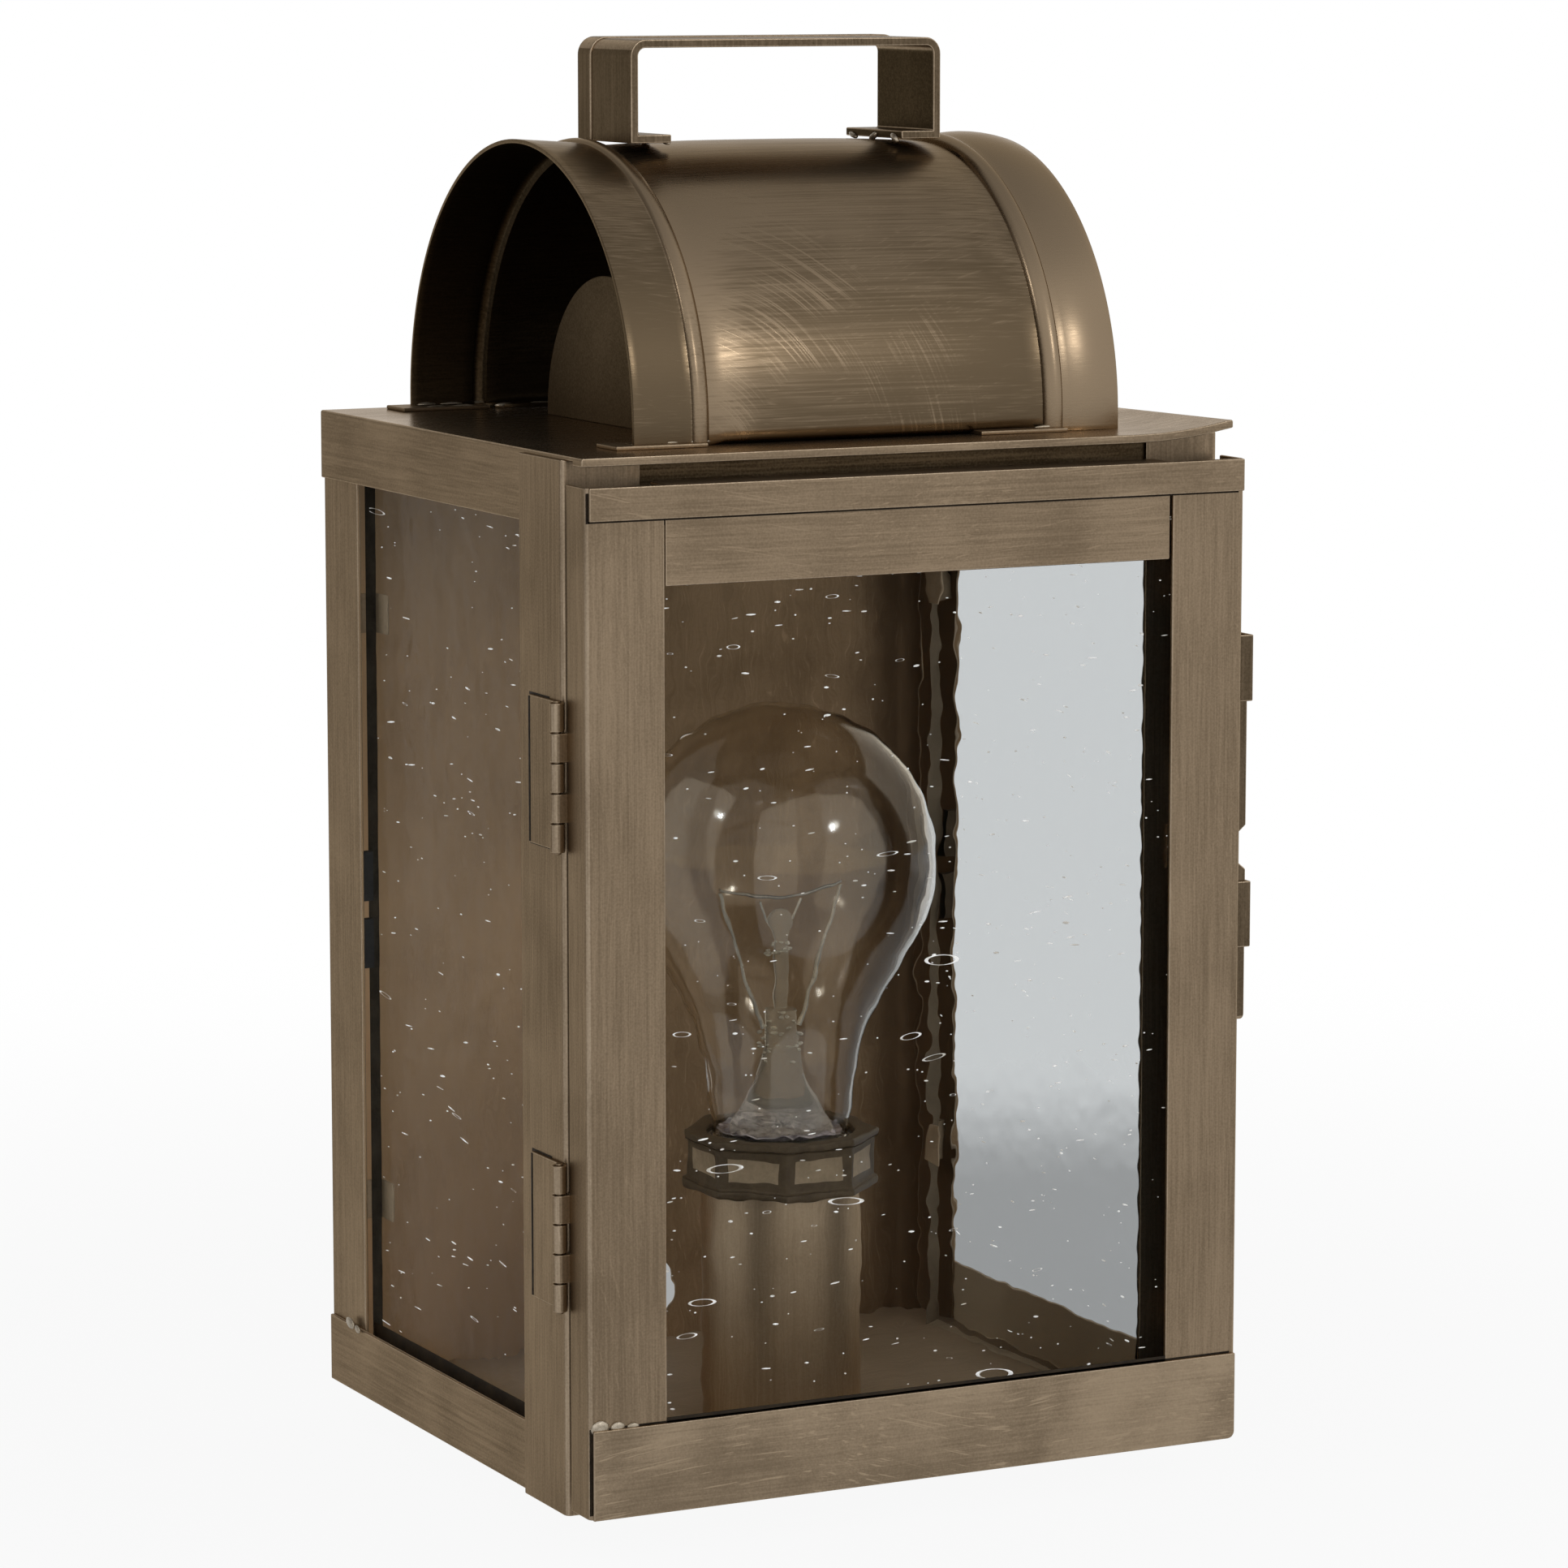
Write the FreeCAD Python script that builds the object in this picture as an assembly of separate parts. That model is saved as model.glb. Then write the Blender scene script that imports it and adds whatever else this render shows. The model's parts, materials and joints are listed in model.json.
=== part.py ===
import FreeCAD
import Part
import math
import os

# Wall lantern of folded brass sheet. Millimetres, +Z up, the wall is the plane Y = 0 and
# the door faces -Y. The origin is the middle of the back panel's wall face.

# Body
sheet = 0.8
body_width = 140.0
body_height = 200.0
body_depth = 119.0
skirt_height = 13.6
fold_radius = 1.2
wall_relief = 0.3

# Roof plate and base pan
lip_depth = 7.2
lip_hem = 4.0
roof_bend = 0.5
vent_length = 44.0
vent_width = 34.0

# Back panel
rear_flange = 17.0
bolt_spacing = 88.9
bolt_hole_radius = 2.5
wire_hole_radius = 9.0
wire_hole_rise = 10.2

# Front posts and header
post_front_flange = 16.0
post_side_flange = 19.3
post_drop = 0.4
header_height = 13.0
header_return = 5.0
header_pane_gap = 1.0

# Side panes with their clips and pads
glass_thickness = 3.0
glass_inset = 3.6
glass_front_gap = 2.0
glass_rear_lap = 2.7
glass_top_gap = 4.0
clip_sheet = 0.6
clip_height = 8.0
clip_reach = 5.5
clip_edge_gap = 0.1
clip_spread = 120.0
pad_height = 10.0
pad_width = 2.0
front_pad_setback = 1.0
front_pad_width = 8.0
pad_spread = 13.7
pad_centre = 0.1

# Barrel roof
barrel_radius = 52.3
barrel_length = 104.0
barrel_rise = 2.7
barrel_from_wall = 59.2
bead_from_middle = 37.7
bead_half_width = 1.9
bead_height = 1.2
barrel_flange = 4.0
foot_length = 19.0
foot_depth = 9.0
foot_ahead = 2.6
left_foot_start = 56.5
right_foot_start = 20.5

# Vent baffle under the barrel
baffle_radius = 28.0
baffle_length = 66.0
baffle_rise = 1.0
baffle_slot_length = 40.0
baffle_slot_height = 7.0

# Handle
handle_from_wall = 60.4
handle_width = 67.3
handle_depth = 24.0
handle_rise = 19.8
handle_thickness = 1.6
handle_foot = 7.0
handle_bend = 3.2
hem_width = 5.8
hem_step = 0.3
solder_gap = 0.05

# Lamp holder
lamp_from_wall = 69.0
tube_radius = 16.0
tube_height = 46.7
tube_notch = 5.0
collar_sides = 8
collar_flat_radius = 17.4
collar_height = 11.5
collar_rim = 1.6
collar_rim_step = 0.6
collar_lip = 1.2
collar_lip_radius = 15.0
socket_wall = 0.8
socket_base_thickness = 4.0
socket_gap = 0.15
shell_thickness = 0.5
contact_width = 6.0
contact_thickness = 0.6
nipple_radius = 4.85
nipple_bore = 3.4
nipple_below = 6.5
nipple_gap = 0.35
nut_sides = 6
nut_width = 15.0
nut_thickness = 4.0
washer_radius = 9.5
washer_thickness = 0.8
thread_gap = 0.05

# Bulb
bulb_radius = 31.0
bulb_top = 44.2
bulb_wall = 0.6
bulb_shoulder_deg = 30.0
bulb_neck_radius = 14.6
bulb_foot_radius = 13.5
bulb_neck_top = -35.0
bulb_seat = 1.0
base_radius = 13.1
base_shell_height = 21.0
base_wall = 0.4
base_bead_pitch = 3.6
base_bead_depth = 0.5
base_plain_foot = 2.7
insulator_height = 3.0
insulator_radius = 9.0
insulator_edge = 1.0
plug_height = 1.2
bulb_contact_radius = 4.8
bulb_contact_height = 1.6
bulb_contact_gap = 0.4
stem_flare_radius = 11.0
stem_plug_height = 1.0
stem_radius = 5.0
stem_pinch = -24.0
pinch_height = 7.0
pinch_radius = 3.4
stem_rod_radius = 1.5
stem_button = 2.3
filament_height = 8.0
filament_span = 27.0
filament_sag = 2.5
filament_radius = 0.3
lead_radius = 0.4
support_radius = 0.25
support_spread = 9.0

# Door
door_top = 94.9
door_bottom = -98.7
door_return = 8.5
stile_width = 16.0
stile_bend = 1.2
strip_height = 6.2
strip_inset = 0.5
rail_end_gap = 0.4
inner_rail_drop = 18.8
bottom_rail_height = 17.2
rail_flange = 7.0
rail_corner = 1.5
door_glass_side_gap = 4.7
door_glass_top_gap = 3.0
door_clip_spread = 145.0
door_clip_drop = 2.5
door_clip_setback = 0.5

# Butt hinges
hinge_height = 28.0
upper_hinge_z = 40.5
lower_hinge_z = -46.5
hinge_axis_ahead = 0.6
knuckle_radius = 1.4
knuckle_count = 5
knuckle_gap = 0.25
hinge_clearance = 0.3
leaf_thickness = 0.8
leaf_width = 14.4
door_leaf_length = 6.5
pin_radius = 0.7
pin_gap = 0.05
pin_stick_out = 0.4

# Latch on the free side of the door
latch_thickness = 2.0
latch_width = 4.4
latch_corner = 1.4
latch_bottom = -15.6
latch_top = 57.0
latch_gap = 0.4
dip_bottom = 14.3
dip_height = 8.7
dip_depth = 2.6
dip_slope = 2.2
latch_travel = 12.0
slot_gap = 0.5
keeper_sheet = 0.6
keeper_height = 13.0
upper_keeper_z = 53.9
lower_keeper_z = 5.5
keeper_edge = 0.2
strike_gap = 0.5
strike_reach = 5.2
strike_plate_width = 8.4

# Levels and planes that follow from the sizes above
body_half = body_width / 2
skirt_half = body_half - sheet
panel_half = skirt_half - sheet
roof_top = body_height / 2
roof_under = roof_top - sheet
base_under = -body_height / 2
floor_top = base_under + sheet
front_face = -body_depth
post_inner = front_face + sheet
lining_face = post_inner + sheet
pane_outer = skirt_half - glass_inset
pane_inner = pane_outer - glass_thickness
pane_front = lining_face + glass_front_gap
pane_rear = -(rear_flange - glass_rear_lap)
barrel_y = -barrel_from_wall
barrel_z = roof_top + barrel_rise
crown = barrel_z + barrel_radius + solder_gap
lamp_y = -lamp_from_wall
tube_top = floor_top + tube_height
collar_top = tube_top + collar_height
cup_top = collar_top - collar_lip - socket_gap
glass_bottom = collar_top - bulb_seat
shell_bottom = glass_bottom - base_shell_height
base_bore = base_radius - base_wall - base_bead_depth
bulb_tip = shell_bottom - insulator_height - bulb_contact_height
socket_radius = tube_radius - sheet - socket_gap
socket_floor = bulb_tip - bulb_contact_gap - contact_thickness
socket_under = socket_floor - socket_base_thickness
hinge_x = -(body_half + knuckle_radius)
hinge_y = front_face - hinge_axis_ahead
door_back = hinge_y - knuckle_radius
door_front = door_back - door_return
door_lining = door_front + sheet
stile_inner = body_half - stile_width
door_glass_half = body_half - sheet - door_glass_side_gap
door_glass_back = door_lining + glass_thickness
latch_inner = body_half + latch_gap
latch_front = door_front + stile_bend + keeper_sheet + 2 * keeper_edge
dip_inner = latch_inner - dip_depth
bulb_centre = bulb_top - bulb_radius
button_z = filament_height - filament_sag - 2 * stem_button

UP = FreeCAD.Vector(0, 0, 1)
SPARE = 1.0


def point(x, y, z):
    """A place in the lantern's frame."""
    return FreeCAD.Vector(x, y, z)


def block(x0, x1, y0, y1, z0, z1):
    """A box between two values on each axis."""
    return Part.makeBox(x1 - x0, y1 - y0, z1 - z0, point(x0, y0, z0))


def rod(radius, base, length, direction=UP):
    """A round bar from a base point."""
    return Part.makeCylinder(radius, length, base, direction)


def ring(outer, inner, base, length):
    """An upright tube from a base point."""
    hole_base = point(base.x, base.y, base.z - SPARE)
    return rod(outer, base, length).cut(rod(inner, hole_base, length + 2 * SPARE))


def fused(shapes):
    """One solid from touching or overlapping shapes."""
    whole = shapes[0].fuse(shapes[1:])
    return whole.removeSplitter()


def mirrored(shape):
    """The same piece on the other side of the lantern's middle plane."""
    return shape.mirror(point(0, 0, 0), point(1, 0, 0))


def edges_along(shape, axis, places):
    """The straight edges along an axis through one of the places, given as pairs on the other axes."""
    others = [name for name in "XYZ" if name != axis]
    found = []
    for edge in shape.Edges:
        ends = (edge.Vertexes[0], edge.Vertexes[-1])
        for place in places:
            offsets = [abs(getattr(end, name) - value) for end in ends for name, value in zip(others, place)]
            if max(offsets) < 0.001:
                found.append(edge)
    return found


def inner_bend(bend):
    """Radius inside a fold of the sheet with this outside radius."""
    return max(bend - sheet, sheet / 4)


def folded_angle(leg_x, leg_y, bend, low, high):
    """A sheet angle with its outer corner on the Z axis and its legs along +X and +Y."""
    solid = block(0, leg_x, 0, leg_y, low, high)
    solid = solid.cut(block(sheet, leg_x + SPARE, sheet, leg_y + SPARE, low - SPARE, high + SPARE))
    solid = solid.makeFillet(bend, edges_along(solid, "Z", [(0, 0)]))
    return solid.makeFillet(inner_bend(bend), edges_along(solid, "Z", [(sheet, sheet)]))


def nested_in_posts(pan):
    """A pan with its front corners rounded to lie inside the folds of the front posts."""
    corners = [(-skirt_half, post_inner), (skirt_half, post_inner)]
    return pan.makeFillet(inner_bend(fold_radius) + solder_gap, edges_along(pan, "Z", corners))


def back_panel():
    """Flat back with the rear corner posts folded forward, two bolt holes and the wire hole."""
    parts = [block(-panel_half, panel_half, -sheet, 0, base_under, roof_under)]
    flange = block(panel_half - sheet, panel_half, -rear_flange, -sheet / 2, floor_top, roof_under)
    parts += [flange, mirrored(flange)]
    panel = fused(parts)
    through = 2 * SPARE + sheet
    back = point(0, 1, 0)
    for side in (-1, 1):
        start = point(0, -sheet - SPARE, side * bolt_spacing / 2)
        panel = panel.cut(rod(bolt_hole_radius, start, through, back))
    start = point(0, -sheet - SPARE, floor_top + wire_hole_rise)
    return panel.cut(rod(wire_hole_radius, start, through, back))


def roof_pan():
    """Top plate with side skirts folded down, a hemmed front lip and the vent opening."""
    lip_front = front_face - lip_depth
    plate = block(-skirt_half, skirt_half, lip_front, -wall_relief, roof_under, roof_top)
    hem = block(-skirt_half, skirt_half, lip_front, lip_front + lip_hem, roof_under - sheet, roof_under)
    skirt = block(panel_half, skirt_half, post_inner, -wall_relief, roof_top - skirt_height, roof_top)
    pan = nested_in_posts(fused([plate, hem, skirt, mirrored(skirt)]))
    corners = [(-skirt_half, roof_top), (skirt_half, roof_top)]
    pan = pan.makeFillet(roof_bend, edges_along(pan, "Y", corners))
    half = vent_length / 2
    front = barrel_y - vent_width / 2
    return pan.cut(block(-half, half, front, front + vent_width, roof_under - SPARE, roof_top + SPARE))


def base_pan():
    """Floor with skirts folded up at the sides and front, and the hole for the lamp's nipple."""
    top = base_under + skirt_height
    plate = block(-skirt_half, skirt_half, post_inner, -sheet, base_under, floor_top)
    skirt = block(panel_half, skirt_half, post_inner, -wall_relief, base_under, top)
    front = block(-skirt_half, skirt_half, post_inner, lining_face, base_under, top)
    pan = nested_in_posts(fused([plate, skirt, mirrored(skirt), front]))
    hole_base = point(0, lamp_y, base_under - SPARE)
    return pan.cut(rod(nipple_radius + nipple_gap, hole_base, sheet + 2 * SPARE))


def front_left_post():
    """Corner angle outside the skirts, a little longer than the body."""
    post = folded_angle(post_front_flange, post_side_flange, fold_radius, base_under - post_drop, roof_under)
    return post.translated(point(-body_half, front_face, 0))


def front_header():
    """Folded strip that ties the posts together behind the gap above the door."""
    low = roof_under - header_height
    web = block(-panel_half, panel_half, post_inner, lining_face, low, roof_under)
    half = pane_inner - header_pane_gap
    leg = block(-half, half, post_inner, lining_face + header_return, low, low + sheet)
    return fused([web, leg])


def right_pane():
    """Flat side pane that stands on the floor inside the skirts."""
    return block(pane_inner, pane_outer, pane_front, pane_rear, floor_top, roof_under - glass_top_gap)


def clip_heights(spread):
    """Middle heights of a pair of clips about the body's middle."""
    return (-spread / 2, spread / 2)


def right_glass_clips():
    """Tabs soldered to the corner posts and bent over the edges of the right pane."""
    low_x = pane_inner - clip_sheet
    rear_in = panel_half - sheet
    rear_web = pane_rear + clip_edge_gap
    front_web = pane_front - clip_edge_gap - clip_sheet
    clips = []
    for middle in clip_heights(clip_spread):
        low = middle - clip_height / 2
        high = middle + clip_height / 2
        web_end = rear_web + clip_sheet
        clips.append(fused([
            block(low_x, rear_in, rear_web, web_end, low, high),
            block(low_x, pane_inner, rear_web - clip_reach, web_end, low, high),
            block(rear_in - clip_sheet, rear_in, rear_web, rear_web + clip_reach, low, high),
        ]))
        web_end = front_web + clip_sheet
        clips.append(fused([
            block(low_x, skirt_half, front_web, web_end, low, high),
            block(low_x, pane_inner, front_web, web_end + clip_reach, low, high),
            block(skirt_half - clip_sheet, skirt_half, front_web, web_end + clip_reach, low, high),
        ]))
    return Part.makeCompound(clips)


def right_glass_pads():
    """Soft pads between the right pane and the corner posts."""
    rear_in = panel_half - sheet
    rear_start = -rear_flange + clip_edge_gap
    front_end = front_face + post_side_flange - front_pad_setback
    pads = []
    for side in (-1, 1):
        low = pad_centre + side * pad_spread / 2 - pad_height / 2
        high = low + pad_height
        pads.append(block(pane_outer, rear_in, rear_start, rear_start + pad_width, low, high))
        pads.append(block(pane_outer, skirt_half, front_end - front_pad_width, front_end, low, high))
    return Part.makeCompound(pads)


def barrel_line(radius):
    """Edges of the barrel's outline from end to end at one radius, with a raised bead near each end."""
    half = barrel_length / 2
    outer = bead_from_middle + bead_half_width
    inner = bead_from_middle - bead_half_width

    def at(x, step=0.0):
        return point(x, barrel_y - radius - step, barrel_z)

    return [
        Part.LineSegment(at(-half), at(-outer)).toShape(),
        Part.Arc(at(-outer), at(-bead_from_middle, bead_height), at(-inner)).toShape(),
        Part.LineSegment(at(-inner), at(inner)).toShape(),
        Part.Arc(at(inner), at(bead_from_middle, bead_height), at(outer)).toShape(),
        Part.LineSegment(at(outer), at(half)).toShape(),
    ]


def barrel_roof():
    """Half-round sheet with a swaged bead near each open end and feet turned in below."""
    outer = barrel_line(barrel_radius)
    inner = barrel_line(barrel_radius - sheet)
    half = barrel_length / 2
    ends = []
    for x in (-half, half):
        outside = point(x, barrel_y - barrel_radius, barrel_z)
        inside = point(x, barrel_y - barrel_radius + sheet, barrel_z)
        ends.append(Part.LineSegment(outside, inside).toShape())
    section = Part.Face(Part.Wire(Part.__sortEdges__(outer + inner + ends)))
    arch = section.revolve(point(0, barrel_y, barrel_z), point(-1, 0, 0), 180)
    seat = roof_top + sheet
    leg = section.extrude(point(0, 0, seat - barrel_z))
    front = barrel_y - barrel_radius + sheet / 2
    turned = block(-half, half, front, front + barrel_flange, seat, seat + sheet)
    opposite = point(0, barrel_y, 0)
    normal = point(0, 1, 0)
    legs = [leg, turned, leg.mirror(opposite, normal), turned.mirror(opposite, normal)]
    return fused([arch] + legs)


def barrel_feet():
    """Solder plates between the roof and the barrel's feet, at the front and the rear."""
    front = barrel_y - barrel_radius - foot_ahead
    plates = []
    for start in (-left_foot_start, right_foot_start):
        plate = block(start, start + foot_length, front, front + foot_depth, roof_top, roof_top + sheet)
        plates += [plate, plate.mirror(point(0, barrel_y, 0), point(0, 1, 0))]
    return Part.makeCompound(plates)


def half_drum(radius, half_length, rise):
    """A solid half cylinder along X that stands on the roof on short straight legs."""
    front = barrel_y - radius
    rear = barrel_y + radius
    middle = roof_top + rise
    drum = rod(radius, point(-half_length, barrel_y, middle), 2 * half_length, point(1, 0, 0))
    upper = block(-half_length, half_length, front, rear, middle, middle + radius)
    legs = block(-half_length, half_length, front, rear, roof_top, middle)
    return fused([drum.common(upper), legs])


def vent_baffle():
    """Closed half drum over the vent, open along its rear foot to let the heat out."""
    half = baffle_length / 2
    shell = half_drum(baffle_radius, half, baffle_rise)
    shell = shell.cut(half_drum(baffle_radius - sheet, half - sheet, baffle_rise))
    slot = baffle_slot_length / 2
    rear = barrel_y + baffle_radius
    high = roof_top + baffle_slot_height
    return shell.cut(block(-slot, slot, rear - baffle_radius / 2, rear + SPARE, roof_top - SPARE, high))


def handle_bow(step, front, rear):
    """An upside-down U of strap between two depths, its outside moved out by a step."""
    half = handle_width / 2
    top = crown + handle_rise
    bow = block(-half - step, half + step, front, rear, crown, top + step)
    corners = [(-half - step, top + step), (half + step, top + step)]
    bow = bow.makeFillet(handle_bend + step, edges_along(bow, "Y", corners))
    inside = half - handle_thickness
    under = top - handle_thickness
    hollow = block(-inside, inside, front - SPARE, rear + SPARE, crown - SPARE, under)
    corners = [(-inside, under), (inside, under)]
    hollow = hollow.makeFillet(max(handle_bend - handle_thickness, sheet), edges_along(hollow, "Y", corners))
    return bow.cut(hollow)


def handle_strap():
    """Carrying strap with a hemmed rear edge and flat feet turned in on the crown of the barrel."""
    front = -handle_from_wall - handle_depth / 2
    rear = front + handle_depth
    half = handle_width / 2
    reach = half - handle_thickness - handle_foot
    foot = block(reach, half, front, rear, crown, crown + handle_thickness)
    strap = [handle_bow(0, front, rear), handle_bow(hem_step, rear - hem_width, rear)]
    return fused(strap + [foot, mirrored(foot)])


def lamp_point(z):
    """A point on the lamp's axis."""
    return point(0, lamp_y, z)


def socket_tube():
    """Brass riser around the socket, notched at the rear foot for the leads."""
    tube = ring(tube_radius, tube_radius - sheet, lamp_point(floor_top), tube_height)
    start = point(0, lamp_y, floor_top)
    return tube.cut(rod(tube_notch, start, tube_radius + SPARE, point(0, 1, 0)))


def prism(sides, flat_radius, z, height):
    """An upright prism about the lamp's axis with this many sides, each a flat radius away."""
    step = 2 * math.pi / sides
    corner = flat_radius / math.cos(step / 2)
    corners = []
    for index in range(sides):
        turn = step / 2 + index * step
        corners.append(point(corner * math.cos(turn), lamp_y + corner * math.sin(turn), z))
    return Part.Face(Part.makePolygon(corners + corners[:1])).extrude(point(0, 0, height))


def socket_collar():
    """Eight-sided ring on top of the riser, with a rim above and below."""
    rim_radius = collar_flat_radius + collar_rim_step
    body = prism(collar_sides, collar_flat_radius, tube_top, collar_height)
    low_rim = prism(collar_sides, rim_radius, tube_top, collar_rim)
    high_rim = prism(collar_sides, rim_radius, collar_top - collar_rim, collar_rim)
    collar = fused([body, low_rim, high_rim])
    bore_height = collar_height - collar_lip + SPARE
    collar = collar.cut(rod(socket_radius + socket_gap, lamp_point(tube_top - SPARE), bore_height))
    return collar.cut(rod(collar_lip_radius, lamp_point(tube_top), collar_height + SPARE))


def socket_body():
    """Insulating cup that holds the screw shell and stands on the nipple."""
    cup = rod(socket_radius, lamp_point(socket_under), cup_top - socket_under)
    cup = cup.cut(rod(socket_radius - socket_wall, lamp_point(socket_floor), cup_top - socket_floor + SPARE))
    return cup.cut(rod(nipple_bore, lamp_point(socket_under - SPARE), socket_base_thickness + 2 * SPARE))


def socket_shell():
    """Thin screw shell that lines the socket's cup."""
    outer = socket_radius - socket_wall - thread_gap
    bottom = socket_floor + contact_thickness + bulb_contact_height
    return ring(outer, outer - shell_thickness, lamp_point(bottom), cup_top - bottom)


def socket_contact():
    """Springy centre contact on the socket's floor."""
    half = contact_width / 2
    reach = socket_radius - 2 * socket_wall
    return block(-half, reach, lamp_y - half, lamp_y + half, socket_floor, socket_floor + contact_thickness)


def threaded_nipple():
    """Hollow stud that carries the socket and clamps it to the floor."""
    bottom = base_under - nipple_below
    return ring(nipple_radius, nipple_bore, lamp_point(bottom), socket_under - bottom)


def nipple_washer():
    """Flat washer under the floor."""
    bottom = base_under - washer_thickness
    return ring(washer_radius, nipple_radius + nipple_gap, lamp_point(bottom), washer_thickness)


def nipple_nut():
    """Hexagon nut under the washer."""
    bottom = base_under - washer_thickness - nut_thickness
    hole = rod(nipple_radius + thread_gap, lamp_point(bottom - SPARE), nut_thickness + 2 * SPARE)
    return prism(nut_sides, nut_width / 2, bottom, nut_thickness).cut(hole)


def spun(edges):
    """A solid turned about the lamp's axis from a closed outline in the plane through it."""
    face = Part.Face(Part.Wire(Part.__sortEdges__(edges)))
    return face.revolve(lamp_point(0), UP, 360)


def bulb_form(inset, bottom):
    """The bulb's turned form, shrunk by an inset: round top, straight shoulder and hollow neck curve."""
    radius = bulb_radius - inset
    turn = math.radians(bulb_shoulder_deg)
    neck = bulb_neck_radius - inset
    foot = bulb_foot_radius - inset

    def at(r, z):
        return point(r, lamp_y, z)

    tip = at(0, bulb_centre + radius)
    equator = at(radius, bulb_centre)
    shoulder_r = radius * math.cos(turn)
    shoulder_z = bulb_centre - radius * math.sin(turn)
    drop = shoulder_z - bulb_neck_top
    narrow = shoulder_r - neck
    # The neck's curve has the radius that joins the shoulder's slope to the upright neck.
    curve = (drop - narrow / math.tan(turn)) / (math.tan(turn / 2))
    bend_r = neck + curve * (1 - math.cos(turn))
    bend_z = bulb_neck_top + curve * math.sin(turn)
    middle_r = neck + curve * (1 - math.cos(turn / 2))
    middle_z = bulb_neck_top + curve * math.sin(turn / 2)
    edges = [
        Part.Arc(tip, equator, at(shoulder_r, shoulder_z)).toShape(),
        Part.LineSegment(at(shoulder_r, shoulder_z), at(bend_r, bend_z)).toShape(),
        Part.Arc(at(bend_r, bend_z), at(middle_r, middle_z), at(neck, bulb_neck_top)).toShape(),
        Part.LineSegment(at(neck, bulb_neck_top), at(foot, bottom)).toShape(),
        Part.LineSegment(at(foot, bottom), at(0, bottom)).toShape(),
        Part.LineSegment(at(0, bottom), tip).toShape(),
    ]
    return spun(edges)


def bulb_glass():
    """Clear envelope, open below where the base closes it."""
    return bulb_form(0, glass_bottom).cut(bulb_form(bulb_wall, glass_bottom - SPARE))


def bulb_base():
    """Screw base with rolled thread turns, closed above by the neck and below by the insulator."""
    shell = rod(base_radius, lamp_point(shell_bottom), base_shell_height)
    turns = int((base_shell_height - base_bead_pitch) / base_bead_pitch)
    for index in range(turns):
        height = shell_bottom + base_plain_foot + base_bead_pitch * index
        groove = Part.makeTorus(base_radius + base_bead_depth, 2 * base_bead_depth, lamp_point(height), UP)
        shell = shell.cut(groove)
    return shell.cut(rod(base_bore, lamp_point(shell_bottom - SPARE), base_shell_height + 2 * SPARE))


def bulb_insulator():
    """Dark glass plug in the foot of the base, with a rounded cone below it."""
    low = shell_bottom - insulator_height
    tip_radius = bulb_contact_radius + insulator_edge
    cone = Part.makeCone(tip_radius, insulator_radius, insulator_height, lamp_point(low))
    return fused([cone, rod(base_bore - thread_gap, lamp_point(shell_bottom), plug_height)])


def bulb_contact():
    """Soldered tip of the bulb."""
    return rod(bulb_contact_radius, lamp_point(bulb_tip), bulb_contact_height)


def bulb_stem():
    """Flared glass stem with a flattened pinch, a rod and a button that carries the supports."""
    foot = Part.makeCone(stem_flare_radius, stem_radius, stem_flare_radius, lamp_point(glass_bottom))
    plug_low = lamp_point(glass_bottom - stem_plug_height)
    plug = rod(base_bore - thread_gap, plug_low, stem_plug_height)
    column_low = glass_bottom + stem_flare_radius
    column = Part.makeCone(stem_radius, pinch_radius, stem_pinch - column_low, lamp_point(column_low))
    pinch = rod(pinch_radius, lamp_point(stem_pinch), pinch_height)
    post = rod(stem_rod_radius, lamp_point(stem_pinch), button_z - stem_pinch)
    button = Part.makeSphere(stem_button, lamp_point(button_z))
    return fused([plug, foot, column, pinch, post, button])


def wire(radius, start, end):
    """A straight round wire between two points."""
    run = end - start
    return rod(radius, start, run.Length, run)


def filament_end(side):
    """Where the filament meets one lead."""
    return point(side * filament_span / 2, lamp_y, filament_height)


def bulb_lead_wires():
    """Two leads from the pinch to the filament's ends and two supports from the button to its middle."""
    wires = []
    for side in (-1, 1):
        start = point(side * (pinch_radius + 2 * lead_radius), lamp_y, stem_pinch + pinch_height / 2)
        end = filament_end(side) - point(0, 0, filament_radius + lead_radius)
        wires.append(wire(lead_radius, start, end))
        hub = point(side * (stem_button + support_radius), lamp_y, button_z)
        tip = point(side * support_spread / 2, lamp_y, filament_height - filament_sag - 2 * filament_radius)
        wires.append(wire(support_radius, hub, tip))
    return Part.makeCompound(wires)


def bulb_filament():
    """Fine filament that sags between the leads."""
    low = point(0, lamp_y, filament_height - filament_sag)
    path = Part.Wire([Part.Arc(filament_end(-1), low, filament_end(1)).toShape()])
    start = path.Edges[0]
    direction = start.tangentAt(start.FirstParameter)
    disc = Part.Wire([Part.makeCircle(filament_radius, filament_end(-1), direction)])
    return path.makePipeShell([disc], True, False)


def knuckle_spans(height):
    """Low and high ends of the hinge's knuckles about its middle, from the top down."""
    length = (hinge_height - (knuckle_count - 1) * knuckle_gap) / knuckle_count
    spans = []
    for index in range(knuckle_count):
        high = height + hinge_height / 2 - index * (length + knuckle_gap)
        spans.append((high - length, high))
    return spans


def hinge_point(z):
    """A point on the hinge's axis."""
    return point(hinge_x, hinge_y, z)


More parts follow.
